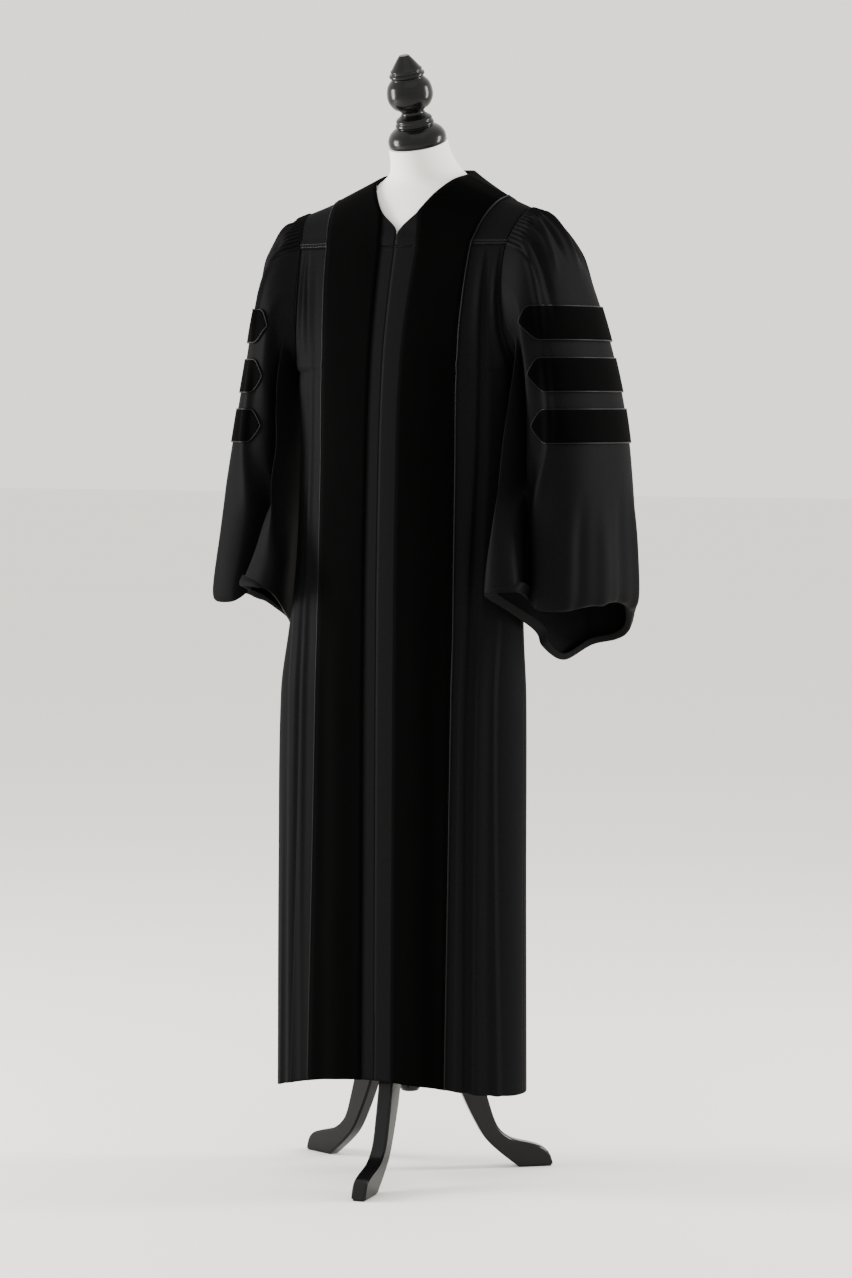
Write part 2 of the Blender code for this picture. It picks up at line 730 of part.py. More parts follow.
def head_places():
    """Places round the sleeve head: two for each flute, and the armhole's points under the arm."""
    places = []
    for segment in range(CONTROLS):
        steps = 2 * FLUTES_PER_SEGMENT if segment in FLUTE_SEGMENTS else 1
        places += [segment + step / steps for step in range(steps)]
    return places


def sleeve_ring(rings, level, places, rise=None):
    """Outer points and normals of one ring of the sleeve's wall."""
    points_here = ring_at(rings, level)
    below = ring_at(rings, min(level + ALONG_STEP, len(rings) - 1))
    above = ring_at(rings, max(level - ALONG_STEP, 0.0))
    middle = sum(points_here, Vector()) / CONTROLS
    points, normals = [], []
    for index, place in enumerate(places):
        across = closed_curve(points_here, place + ACROSS_STEP)
        across = across - closed_curve(points_here, place - ACROSS_STEP)
        along = closed_curve(below, place) - closed_curve(above, place)
        normal = along.cross(across).normalized()
        if rings[0][0].x > 0:
            normal.negate()
        point = closed_curve(points_here, place)
        if rise:
            point = point + normal * rise(index, place)
        points.append(point)
        normals.append(normal)
    return points, normals


def zip_rings(first, first_places, second, second_places):
    """Triangles between two closed rings with different numbers of points."""
    faces, one, two = [], 0, 0
    first_count, second_count = len(first), len(second)
    while one < first_count or two < second_count:
        next_one = first_places[one + 1] if one + 1 < first_count else CONTROLS
        next_two = second_places[two + 1] if two + 1 < second_count else CONTROLS
        corner_one, corner_two = first[one % first_count], second[two % second_count]
        if two >= second_count or (one < first_count and next_one <= next_two):
            faces.append((corner_one, first[(one + 1) % first_count], corner_two))
            one += 1
        else:
            faces.append((corner_one, second[(two + 1) % second_count], corner_two))
            two += 1
    return faces


def build_sleeve(sign):
    """A bell sleeve: fluted head, hanging front flap, and a lower edge turned in."""
    side = SIDE_NAMES[sign]
    rings = sleeve_rings(sign)
    fine = head_places()
    coarse = [step / RING_STEPS for step in range(CONTROLS * RING_STEPS)]

    def flute(strength):
        def rise(index, place):
            if math.floor(place) not in FLUTE_SEGMENTS or place in (2.0, 12.0):
                return 0.0
            return FLUTE_RISE * strength * (1 if index % 2 else -1)
        return rise

    loops = [(fine, *sleeve_ring(rings, level, fine, flute(share))) for level, share in FLUTE_ROWS]
    hang = [(coarse, *sleeve_ring(rings, level, coarse)) for level in range(1, len(rings))]
    loops += hang

    points, faces, outer_loops, inner_loops = [], [], [], []
    for places, ring, normals in loops:
        outer_loops.append(list(range(len(points), len(points) + len(ring))))
        points += ring
    for places, ring, normals in loops:
        inner_loops.append(list(range(len(points), len(points) + len(ring))))
        points += [point - normal * CLOTH for point, normal in zip(ring, normals)]
    for shell in (outer_loops, inner_loops):
        for index in range(len(shell) - 1):
            one, two = shell[index], shell[index + 1]
            if len(one) == len(two):
                for here in range(len(one)):
                    there = (here + 1) % len(one)
                    faces.append((one[here], one[there], two[there], two[here]))
            else:
                faces += zip_rings(one, loops[index][0], two, loops[index + 1][0])
    for outer, inner in ((outer_loops[0], inner_loops[0]), (outer_loops[-1], inner_loops[-1])):
        for here in range(len(outer)):
            there = (here + 1) % len(outer)
            faces.append((outer[here], outer[there], inner[there], inner[here]))
    add_object("sleeve_" + side, mesh_from_faces("sleeve_" + side, points, faces), "cloth")
    build_bars(side, hang)


def build_bars(side, hang):
    """Three velvet bars across the sleeve's outer face, each made from the sleeve's own points."""
    count = CONTROLS * RING_STEPS
    for number, row in enumerate(SLEEVE_BARS, 1):
        bar = dict(zip(BAR_COLUMNS, row))
        first = round(bar["back_end"] * RING_STEPS)
        last = round(bar["front_end"] * RING_STEPS)
        span = last - first
        grid, normals = [], []
        for share in (1.0, 0.0, -1.0):
            grid_row, normal_row = [], []
            for step in range(first, last + 1):
                from_end = min(step - first, last - step)
                half = BAR_HALF_HEIGHT * BAR_END_SHARES[min(from_end, 2)]
                height = bar["height"] + share * half
                if share == 0.0:
                    height = bend_height(hang, step % count, height, half)
                point, normal = point_at_height(hang, step % count, height)
                grid_row.append(point + normal * (bar["stand_off"] + VELVET))
                normal_row.append(normal)
            grid.append(grid_row)
            normals.append(normal_row)
        wall("sleeve_bar_%s_%d" % (side, number), grid, normals, VELVET, "velvet")


def bend_height(hang, index, height, half):
    """Height of the sleeve's own bend behind a bar, or the bar's middle where it has none."""
    inside = [ring[index].z for _, ring, _ in hang if abs(ring[index].z - height) < half]
    return min(inside, key=lambda level: abs(level - height)) if inside else height


def point_at_height(hang, index, height):
    """Where one line of the sleeve's points, from head to hem, passes a height."""
    for (_, upper, upper_normals), (_, lower, lower_normals) in zip(hang, hang[1:]):
        high, low = upper[index], lower[index]
        if high.z >= height >= low.z:
            share = (high.z - height) / (high.z - low.z)
            normal = upper_normals[index].lerp(lower_normals[index], share).normalized()
            return high.lerp(low, share), normal
    raise ValueError("the sleeve does not reach %.3f" % height)


# Dress form, neck cap and stand

FORM_COLUMNS = ("height", "middle_y", "half_width", "half_depth", "tilt")
FORM_SECTIONS = (
    (0.905, -0.030, 0.145, 0.085, 0.0),
    (0.940, -0.028, 0.158, 0.094, 0.0),
    (1.020, -0.020, 0.160, 0.098, 0.0),
    (1.120, -0.012, 0.150, 0.098, 0.0),
    (1.250, 0.000, 0.165, 0.107, 0.0),
    (1.400, 0.014, 0.174, 0.110, 0.0),
    (1.500, 0.022, 0.178, 0.099, 0.0),
    (1.5687, 0.026, 0.172, 0.089, 0.0),
    (1.6007, 0.028, 0.152, 0.079, 0.0),
    (1.6207, 0.030, 0.118, 0.071, 0.04),
    (1.6387, 0.030, 0.083, 0.063, 0.12),
    (1.656, 0.025, 0.060, 0.057, 0.24),
    (1.678, 0.011, 0.0500, 0.0510, 0.33),
    (1.700, 0.000, 0.0475, 0.0500, 0.36),
)
FORM_SIDES = 24
NECK_LEAN = math.radians(20.0)
FINIAL_SIDES = 20
HUB_SIDES = 24
FINIAL_PROFILE = (
    (0.0460, 0.0000), (0.0478, 0.0050), (0.0470, 0.0130), (0.0420, 0.0215), (0.0330, 0.0285),
    (0.0300, 0.0300), (0.0318, 0.0330), (0.0305, 0.0365), (0.0295, 0.0380), (0.0298, 0.0410),
    (0.0278, 0.0440), (0.0230, 0.0475), (0.0192, 0.0520), (0.0205, 0.0565), (0.0300, 0.0630),
    (0.0365, 0.0740), (0.0377, 0.0850), (0.0345, 0.0990), (0.0265, 0.1095), (0.0265, 0.1110),
    (0.0290, 0.1140), (0.0285, 0.1175), (0.0255, 0.1195), (0.0260, 0.1235), (0.0235, 0.1260),
    (0.0150, 0.1380), (0.0080, 0.1470), (0.0, 0.1530),
)
STAND_X = -0.015
POST_RADIUS = 0.0160
POST_SIDES = 16
POST_BOTTOM = 0.330
HUB_PROFILE = (
    (0.0160, 0.3297), (0.0260, 0.3250), (0.0300, 0.3160), (0.0270, 0.3060), (0.0270, 0.1900),
    (0.0290, 0.1840), (0.0290, 0.1740), (0.0200, 0.1640), (0.0150, 0.1560), (0.0170, 0.1500),
    (0.0180, 0.1430), (0.0140, 0.1360), (0.0, 0.1340),
)
LEG_AZIMUTHS = {"front": 7.0, "left": 128.0, "right": -108.0}
LEG_THICKNESS = 0.0250
LEG_TOP_EDGE = (
    (0.0275, 0.2860), (0.0540, 0.2800), (0.0820, 0.2560), (0.1040, 0.2120), (0.1190, 0.1600),
    (0.1320, 0.1135), (0.1480, 0.0700), (0.1720, 0.0490), (0.2100, 0.0380), (0.2290, 0.0300),
    (0.2380, 0.0180), (0.2430, 0.0),
)
LEG_LOWER_EDGE = (
    (0.1840, 0.0), (0.1500, 0.0270), (0.1270, 0.0500), (0.1080, 0.0820), (0.0880, 0.1240),
    (0.0720, 0.1640), (0.0520, 0.1930), (0.0275, 0.2050),
)
LEG_BEVEL = 0.0025
LEG_BEVEL_ANGLE = math.radians(50.0)


def build_form():
    """The limbless form: torso and leaning neck, one smooth closed solid."""
    points, faces = [], []
    for row in FORM_SECTIONS:
        form = dict(zip(FORM_COLUMNS, row))
        for step in range(FORM_SIDES):
            angle = 2 * math.pi * step / FORM_SIDES
            depth = form["half_depth"] * math.sin(angle)
            height = form["height"] + form["tilt"] * depth
            points.append(Vector((form["half_width"] * math.cos(angle), form["middle_y"] + depth, height)))
    for ring in range(len(FORM_SECTIONS) - 1):
        for step in range(FORM_SIDES):
            here, there = ring * FORM_SIDES + step, ring * FORM_SIDES + (step + 1) % FORM_SIDES
            faces.append((here, there, there + FORM_SIDES, here + FORM_SIDES))
    faces.append(tuple(reversed(range(FORM_SIDES))))
    faces.append(tuple(range(len(points) - FORM_SIDES, len(points))))
    form = add_object("dress_form", mesh_from_faces("dress_form", points, faces), "form")
    form.data.shade_smooth()


def turned(name, profile, sides, material):
    """A turned piece: the profile of radius and height, spun round its own axis."""
    work = bmesh.new()
    rising = sorted(profile, key=lambda row: row[1], reverse=True)
    if rising[-1][0] > 0:
        rising.append((0.0, rising[-1][1]))
    if rising[0][0] > 0:
        rising.insert(0, (0.0, rising[0][1]))
    line = [work.verts.new((radius, 0.0, height)) for radius, height in rising]
    for here, there in zip(line, line[1:]):
        work.edges.new((here, there))
    mesh = bpy.data.meshes.new(name)
    work.to_mesh(mesh)
    work.free()
    thing = add_object(name, mesh, material)
    screw = thing.modifiers.new("turning", "SCREW")
    screw.axis = "Z"
    screw.angle = 2 * math.pi
    screw.steps = sides
    screw.render_steps = sides
    screw.use_merge_vertices = True
    screw.merge_threshold = 1e-5
    screw.use_smooth_shade = True
    return thing


def build_finial():
    """The neck cap: base dome, beads, ball and pointed top, leaning with the neck."""
    cap = turned("neck_cap", FINIAL_PROFILE, FINIAL_SIDES, "lacquer")
    lean = Matrix.Rotation(NECK_LEAN, 4, "X")
    seat = Vector((0.0, 0.0, FORM_SECTIONS[-1][0]))
    lift = lean @ Vector((0.0, 0.0, GAP))
    cap.matrix_world = Matrix.Translation(seat + lift + Vector((0, STAND_Y, 0))) @ lean


def build_stand():
    """Post, turned hub with its knob, and three shaped board legs."""
    top = FORM_SECTIONS[0][0] - GAP
    post = turned("post", ((POST_RADIUS, POST_BOTTOM), (POST_RADIUS, top)), POST_SIDES, "lacquer")
    hub = turned("hub", HUB_PROFILE, HUB_SIDES, "lacquer")
    for piece in (post, hub):
        piece.location.x = STAND_X
    for name, azimuth in LEG_AZIMUTHS.items():
        outline = LEG_TOP_EDGE + LEG_LOWER_EDGE
        work = bmesh.new()
        side = [work.verts.new((reach, -0.5 * LEG_THICKNESS, height)) for reach, height in outline]
        face = work.faces.new(side)
        grown = bmesh.ops.extrude_face_region(work, geom=[face])
        moved = [item for item in grown["geom"] if isinstance(item, bmesh.types.BMVert)]
        bmesh.ops.translate(work, verts=moved, vec=(0.0, LEG_THICKNESS, 0.0))
        bmesh.ops.recalc_face_normals(work, faces=work.faces)
        mesh = bpy.data.meshes.new("leg_" + name)
        work.to_mesh(mesh)
        work.free()
        leg = add_object("leg_" + name, mesh, "lacquer")
        leg.location.x = STAND_X
        leg.rotation_euler.z = math.radians(azimuth - 90.0)
        bevel = leg.modifiers.new("eased edges", "BEVEL")
        bevel.width = LEG_BEVEL
        bevel.segments = 1
        bevel.limit_method = "ANGLE"
        bevel.angle_limit = LEG_BEVEL_ANGLE


for hand in (1, -1):
    build_front(hand)
    build_sleeve(hand)
build_zip_tape()
build_back_yoke()
build_back()
build_form()
build_finial()
build_stand()
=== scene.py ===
"""Looks of a graduation gown with velvet bands, on its dress form and three-legged stand.

Metres, +Z up. The gown faces -Y, and the wearer's left sleeve is at +X. Each cloth piece is a thin
shell on the form of its solid, cut finer, with its folds, seams and weave.
"""

import math

import bmesh
import bpy
import numpy as np
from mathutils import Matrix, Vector


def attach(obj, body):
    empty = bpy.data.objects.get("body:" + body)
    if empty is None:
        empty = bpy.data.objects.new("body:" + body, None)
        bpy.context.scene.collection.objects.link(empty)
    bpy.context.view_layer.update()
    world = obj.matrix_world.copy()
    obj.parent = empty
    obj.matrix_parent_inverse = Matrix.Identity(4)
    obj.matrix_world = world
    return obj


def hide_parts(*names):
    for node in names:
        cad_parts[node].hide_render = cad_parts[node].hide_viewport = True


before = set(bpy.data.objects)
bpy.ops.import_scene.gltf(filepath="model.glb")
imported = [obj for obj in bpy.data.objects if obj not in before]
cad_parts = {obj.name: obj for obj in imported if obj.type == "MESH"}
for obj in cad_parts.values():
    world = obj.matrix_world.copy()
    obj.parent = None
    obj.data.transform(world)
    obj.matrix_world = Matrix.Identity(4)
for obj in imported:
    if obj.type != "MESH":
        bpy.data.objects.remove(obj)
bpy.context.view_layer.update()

# Gown cloth: a black wool-rich suiting in satin weave, pressed and hung by hand. It is matt from
# the front, and its smooth floats catch a soft grey light where a fold turns.

CLOTH_BLACK = "#0a0a0b"
CLOTH_RAISED = "#101011"
THREAD_SPACING = 0.0011
THREAD_SLANT = math.radians(63.0)


def linear(colour):
    """An sRGB hex colour as linear red, green, blue and alpha."""
    shades = [int(colour[place:place + 2], 16) / 255 for place in (1, 3, 5)]
    return (*(s / 12.92 if s <= 0.04045 else ((s + 0.055) / 1.055) ** 2.4 for s in shades), 1.0)


def add_node(tree, kind, settings=None, **links):
    """Add a node: settings by attribute or by input name, links by input name with _ for spaces."""
    node = tree.nodes.new(kind)
    for name, value in (settings or {}).items():
        if hasattr(node, name):
            setattr(node, name, value)
        else:
            node.inputs[name].default_value = value
    for name, source in links.items():
        tree.links.new(source, node.inputs[name.replace("_", " ")])
    return node


def plain_material(name, **settings):
    """A material with a bare Principled shader, its constant settings and its node tree."""
    material = bpy.data.materials.new(name)
    material.use_nodes = True
    shader = material.node_tree.nodes["Principled BSDF"]
    for key, value in settings.items():
        shader.inputs[key.replace("_", " ")].default_value = value
    return material, material.node_tree, shader


def coordinates(tree, kind="Object"):
    """Places on a piece in metres: in space, or on its own cloth ("UV")."""
    return add_node(tree, "ShaderNodeTexCoord").outputs[kind]


def turned(tree, place, **settings):
    """Places turned or stretched before a pattern is read at them."""
    return add_node(tree, "ShaderNodeMapping", settings, Vector=place).outputs["Vector"]


def noise(tree, place, scale, detail=2.0, **settings):
    """The strength of a noise pattern at each place."""
    settings.update(Scale=scale, Detail=detail)
    return add_node(tree, "ShaderNodeTexNoise", settings, Vector=place).outputs["Fac"]


def blended(tree, shader, share, first, second):
    """Colour the shader by a share between two hex colours."""
    colour = add_node(tree, "ShaderNodeMix", {"data_type": "RGBA"})
    tree.links.new(share, colour.inputs[0])
    colour.inputs[6].default_value = linear(first)
    colour.inputs[7].default_value = linear(second)
    tree.links.new(colour.outputs[2], shader.inputs["Base Color"])


def raised(tree, shader, height, strength, distance, **below):
    """Raise the shader's surface by a height, over any bump below it."""
    bump = add_node(tree, "ShaderNodeBump", {"Strength": strength, "Distance": distance},
                    Height=height, **below)
    tree.links.new(bump.outputs["Normal"], shader.inputs["Normal"])
    return bump.outputs["Normal"]


def suiting_material():
    """Satin-weave suiting: fine slanted threads and slight slubs, on the piece's own UV in metres."""
    material, tree, shader = plain_material(
        "black satin-weave suiting", Roughness=0.60, Sheen_Weight=0.003, Sheen_Roughness=0.40,
        Specular_IOR_Level=0.015, Sheen_Tint=linear("#B9BCC4"))
    uv = coordinates(tree, "UV")
    slant = turned(tree, uv, Rotation=(0.0, 0.0, THREAD_SLANT))
    # Real threads are 0.3 mm apart: the slanted ribs are drawn about four times as coarse
    ribs = add_node(tree, "ShaderNodeTexWave",
                    {"Scale": 1.0 / (THREAD_SPACING * 20.0), "Distortion": 0.6, "Detail": 2.0},
                    Vector=slant).outputs["Fac"]
    slubs = noise(tree, uv, 190.0, 3.0)
    blended(tree, shader, slubs, CLOTH_BLACK, CLOTH_RAISED)
    gloss = add_node(tree, "ShaderNodeMapRange", {"To Min": 0.56, "To Max": 0.66},
                     Value=noise(tree, uv, 9.0))
    tree.links.new(gloss.outputs["Result"], shader.inputs["Roughness"])
    weave = raised(tree, shader, ribs, 0.12, 0.0002)
    raised(tree, shader, slubs, 0.10, 0.0004, Normal=weave)
    return material


SUITING = suiting_material()


def smooth(keys, values, place):
    """Values at each place on a smooth curve through values at rising keys."""
    keys, values = np.asarray(keys, float), np.asarray(values, float)
    place = np.clip(np.asarray(place, float), keys[0], keys[-1])
    last = len(keys) - 1
    first = np.clip(np.searchsorted(keys, place, side="right") - 1, 0, last - 1)
    low, high = np.maximum(np.arange(last + 1) - 1, 0), np.minimum(np.arange(last + 1) + 1, last)
    inner = (1,) * (values.ndim - 1)
    slope = (values[high] - values[low]) / (keys[high] - keys[low]).reshape((-1,) + inner)
    span = (keys[first + 1] - keys[first]).reshape(place.shape + inner)
    part = (place - keys[first]).reshape(place.shape + inner) / span
    square, cube = part ** 2, part ** 3
    return (
        values[first] * (2 * cube - 3 * square + 1) + slope[first] * span * (cube - 2 * square + part)
        + values[first + 1] * (3 * square - 2 * cube) + slope[first + 1] * span * (cube - square)
    )


def column(rows, names, name, place):
    """A named column of a table, read smoothly at each place in its first column."""
    index = names.index(name)
    return smooth([row[0] for row in rows], [row[index] for row in rows], place)


def closed_curve(points, place):
    """Points on smooth closed curves through points[..., n, 3]; the place counts points."""
    points = np.asarray(points, float)
    place = np.asarray(place, float)
    first = np.floor(place).astype(int)
    part = (place - first)[:, None]
    before, start, end, after = (
        np.take(points, (first + step) % points.shape[-2], axis=-2) for step in (-1, 0, 1, 2))
    return 0.5 * (
        2 * start + (end - before) * part
        + (2 * before - 5 * start + 4 * end - after) * part ** 2
        + (3 * start - before - 3 * end + after) * part ** 3
    )


def ease(part):
    """A soft step from 0 to 1."""
    part = np.clip(part, 0.0, 1.0)
    return part * part * (3 - 2 * part)


def grid_normals(grid, closed=False):
    """Unit normals of a grid of points; a closed grid joins its last column to its first."""
    if closed:
        wide = np.concatenate((grid[:, -1:], grid, grid[:, :1]), axis=1)
        across = wide[:, 2:] - wide[:, :-2]
    else:
        across = np.gradient(grid, axis=1)
    along = np.gradient(grid, axis=0)
    normals = np.cross(across, along)
    length = np.linalg.norm(normals, axis=2, keepdims=True)
    flat = length[..., 0] < 1e-12
    normals = normals / np.maximum(length, 1e-12)
    if flat.any():
        rows, places = np.nonzero(flat)
        for row, place in zip(rows, places):
            near = np.nonzero(~flat[row])[0]
            normals[row, place] = normals[row, near[np.abs(near - place).argmin()]]
    return normals


def run_lengths(grid, axis):
    """How far each point lies along its row or column, in metres."""
    steps = np.linalg.norm(np.diff(grid, axis=axis), axis=2)
    zero = np.zeros_like(np.take(steps, [0], axis=axis))
    return np.concatenate((zero, np.cumsum(steps, axis=axis)), axis=axis)


def linked(name, data):
    """A new object of the data, in the scene."""
    thing = bpy.data.objects.new(name, data)
    bpy.context.scene.collection.objects.link(thing)
    return thing


def finish_mesh(mesh, distance, material):
    """Merge doubled points, turn the faces outward and give the mesh its material."""
    work = bmesh.new()
    work.from_mesh(mesh)
    bmesh.ops.remove_doubles(work, verts=work.verts, dist=distance)
    bmesh.ops.recalc_face_normals(work, faces=work.faces)
    work.to_mesh(mesh)
    work.free()
    mesh.materials.append(material)
    mesh.shade_smooth()


def cloth_shell(name, grid, normals, thickness, material, closed=False):
    """A closed thin shell: the grid is its outer face. Its UV is its own cloth in metres."""
    tall, wide = grid.shape[:2]
    outer = grid.reshape(-1, 3)
    inner = (grid - normals * thickness).reshape(-1, 3)
    points = np.concatenate((outer, inner))
    index = np.arange(tall * wide).reshape(tall, wide)
    if closed:
        index = np.concatenate((index, index[:, :1]), axis=1)
    one, two = index[:-1, :-1].ravel(), index[:-1, 1:].ravel()
    three, four = index[1:, 1:].ravel(), index[1:, :-1].ravel()
    shift = tall * wide
    faces = [np.stack((one, four, three, two), axis=1)]
    faces.append(np.stack((one, two, three, four), axis=1) + shift)
    rims = [index[0], index[-1][::-1]]
    if not closed:
        rims += [index[::-1, 0], index[:, -1]]
    for rim in rims:
        faces.append(np.stack((rim[:-1], rim[1:], rim[1:] + shift, rim[:-1] + shift), axis=1))
    faces = np.concatenate(faces)
    mesh = bpy.data.meshes.new(name)
    mesh.from_pydata(points.tolist(), [], faces.tolist())
    across, down = run_lengths(grid, 1), run_lengths(grid, 0)
    spots = np.stack((across, down), axis=2).reshape(-1, 2)
    spots = np.concatenate((spots, spots))
    layer = mesh.uv_layers.new(name="cloth_metres")
    corners = np.empty(len(mesh.loops), dtype=np.int64)
    mesh.loops.foreach_get("vertex_index", corners)
    layer.data.foreach_set("uv", spots[corners].ravel())
    finish_mesh(mesh, 2e-6, material)
    return linked(name, mesh)


# Fronts and yokes: each front falls from its yoke seam with two pressed knife pleats, and the
# yokes lie smooth over the shoulders. All of the gown's black cloth is this one suiting.

CLOTH = 0.0014
VELVET = 0.0020
GAP = 0.0003
SEAM = 0.0004
CORD_RADIUS = 0.0015
STAND_Y = 0.0310
YOKE_HEIGHT = 1.530
BACK_YOKE_HEIGHT = 1.505
HEM_FRONT = 0.180
HEM_SIDES = {1: 0.158, -1: 0.138}
HEM_BACK = 0.160
SIDE_NAMES = {1: "left", -1: "right"}

# Sections of the hanging body: height, centre front, side on each side, centre back, and the two
# powers that shape the quarter between centre and side
BODY_COLUMNS = ("height", "front_y", "left_x", "right_x", "side_y", "back_y", "fullness", "rounding")
BODY_SECTIONS = (
    (0.160, -0.157, 0.213, 0.231, -0.040, 0.106, 2.6, 0.42),
    (0.500, -0.153, 0.212, 0.230, -0.040, 0.102, 2.5, 0.43),
    (0.800, -0.150, 0.210, 0.228, -0.035, 0.098, 2.4, 0.45),
    (0.900, -0.148, 0.203, 0.216, -0.030, 0.100, 2.3, 0.46),
    (1.000, -0.146, 0.199, 0.203, -0.025, 0.104, 2.3, 0.47),
    (1.180, -0.139, 0.199, 0.199, -0.012, 0.118, 2.2, 0.48),
    (1.260, -0.1345, 0.200, 0.200, -0.003, 0.126, 2.2, 0.43),
    (1.330, -0.1275, 0.201, 0.201, 0.005, 0.133, 2.1, 0.37),
    (1.357, -0.1240, 0.201, 0.201, 0.005, 0.135, 2.0, 0.60),
    (1.400, -0.116, 0.201, 0.201, 0.005, 0.139, 1.95, 0.72),
    (1.470, -0.099, 0.201, 0.201, 0.005, 0.141, 1.8, 0.88),
    (1.530, -0.082, 0.201, 0.201, 0.005, 0.141, 1.7, 1.00),
)
BACK_FULLNESS = 2.0
BACK_ROUNDING = 0.62

# Lines down each front: velvet band's inner and outer edges, and the two knife pleats' edges
LINE_COLUMNS = ("height", "strip", "band", "pleat_1", "pleat_2")
FRONT_LINES = {
    "left": (
        (0.160, 0.030, 0.122, 0.148, 0.196),
        (0.850, 0.031, 0.128, 0.147, 0.186),
        (1.340, 0.031, 0.125, 0.155, 0.190),
        (1.530, 0.038, 0.131, 0.155, 0.184),
    ),
    "right": (
        (0.160, 0.024, 0.128, 0.166, 0.200),
        (0.850, 0.023, 0.115, 0.148, 0.190),
        (1.340, 0.023, 0.118, 0.150, 0.190),
        (1.530, 0.027, 0.131, 0.164, 0.184),
    ),
}
LINE_PLACES = {"strip": 0.2, "band": 0.6, "pleat_1": 0.7, "pleat_2": 0.9}
PLEAT_RISE = 0.0030
PLEAT_DROP = 0.0040
PLEAT_STEP = 0.0035
PLEAT_DIP = 0.0005
PLEAT_FADE = 0.06
PLEAT_SPACE = 0.0150
SIDE_SPACE = 0.0080

# Armhole seam, from the shoulder tip down the front, under the arm and up the back
ARMHOLE = (
    (0.2015, 0.010, 1.5915),
    (0.1970, -0.028, 1.573),
    (0.1870, -0.058, 1.530),
    (0.1860, -0.073, 1.480),
    (0.1870, -0.077, 1.435),
    (0.1900, -0.072, 1.390),
    (0.1950, -0.055, 1.357),
    (0.1990, -0.028, 1.338),
    (0.2010, 0.005, 1.330),
    (0.1985, 0.050, 1.343),
    (0.1910, 0.086, 1.385),
    (0.1870, 0.096, 1.445),
    (0.1870, 0.088, 1.505),
    (0.1970, 0.052, 1.568),
)
CONTROLS = len(ARMHOLE)
SEAM_SAMPLES = 200
FRONT_CORNER = 2
UNDERARM = 8
BACK_CORNER = 12

# Long soft folds of the hanging body, on the front and on the back: top and bottom x and height,
# half width, and how far the fold stands out or in
FOLD_COLUMNS = ("top_x", "top_z", "low_x", "low_z", "width", "rise")
FRONT_FOLDS = (
    (0.170, 1.440, 0.172, 0.900, 0.008, 0.0035),
    (0.142, 1.250, 0.139, 0.250, 0.006, 0.0020),
    (0.168, 1.150, 0.166, 0.160, 0.009, 0.0040),
    (0.180, 0.950, 0.186, 0.160, 0.006, -0.0040),
    (0.075, 1.100, 0.070, 0.160, 0.022, 0.0025),
    (0.100, 0.900, 0.104, 0.160, 0.012, -0.0020),
    (-0.140, 1.420, -0.146, 0.500, 0.006, 0.0020),
    (-0.160, 1.300, -0.170, 0.160, 0.007, 0.0030),
    (-0.185, 1.250, -0.190, 0.160, 0.008, -0.0040),
    (-0.176, 1.380, -0.176, 0.900, 0.006, 0.0030),
    (-0.070, 1.050, -0.068, 0.160, 0.022, 0.0025),
    (-0.096, 0.950, -0.098, 0.160, 0.012, -0.0020),
)
BACK_FOLDS = (
    (0.140, 1.300, 0.150, 0.160, 0.012, 0.0050),
    (0.110, 1.200, 0.112, 0.160, 0.010, -0.0040),
    (0.060, 1.250, 0.055, 0.160, 0.014, 0.0050),
    (0.010, 1.350, 0.008, 0.160, 0.012, -0.0040),
    (-0.045, 1.250, -0.050, 0.160, 0.014, 0.0050),
    (-0.095, 1.150, -0.100, 0.160, 0.010, -0.0045),
    (-0.135, 1.300, -0.150, 0.160, 0.012, 0.0050),
)


def body(name, height):
    """A named measure of the body at each height."""
    return column(BODY_SECTIONS, BODY_COLUMNS, name, height)


def section_edge(sign, height, front):
    """Side x and y of a body section: the side seam, or above it the armhole."""
    corner = FRONT_CORNER if front else BACK_CORNER
    seam = closed_curve(ARMHOLE, np.linspace(UNDERARM, corner, SEAM_SAMPLES))
    gap = -0.5 * SEAM if front else 0.5 * SEAM
    above = height > ARMHOLE[UNDERARM][2]
    x = np.where(above, np.interp(height, seam[:, 2], seam[:, 0]),
                 body("left_x" if sign > 0 else "right_x", height))
    y = np.where(above, np.interp(height, seam[:, 2], seam[:, 1]),
                 body("side_y", height) + gap)
    return x, y


def section_powers(height, front):
    """The two powers that shape a section between its middle and its side."""
    if not front:
        return BACK_FULLNESS, BACK_ROUNDING
    return body("fullness", height), body("rounding", height)


def body_points(sign, x, height, front, rise):
    """Points of the body's outer face at each x and height, lifted by the rise."""
    edge_x, edge_y = section_edge(sign, height, front)
    middle = body("front_y" if front else "back_y", height)
    fullness, rounding = section_powers(height, front)
    part = np.maximum(0.0, 1.0 - np.minimum(1.0, x / edge_x) ** fullness)
    y = edge_y + (middle - edge_y) * part ** rounding + (-rise if front else rise)
    return np.stack((sign * x, y, height), axis=-1)


def hem_height(sign, part, middle=HEM_FRONT):
    """Height of the hem at a part of the way from the middle to the side."""
    return middle + (HEM_SIDES[sign] - middle) * part ** 2


def long_folds(grid, rows, front):
    """Lift the grid's points in or out along the long folds of the hanging cloth."""
    x, z = grid[..., 0], grid[..., 2]
    rise = np.zeros_like(x)
    for row in rows:
        fold = dict(zip(FOLD_COLUMNS, row))
        part = (fold["top_z"] - z) / (fold["top_z"] - fold["low_z"])
        middle = fold["top_x"] + (fold["low_x"] - fold["top_x"]) * np.clip(part, 0.0, 1.0)
        fade = ease(part * 4.0)
        rise += fold["rise"] * fade * np.exp(-((x - middle) / fold["width"]) ** 2)
    lifted = grid.copy()
    lifted[..., 1] += -rise if front else rise
    return lifted


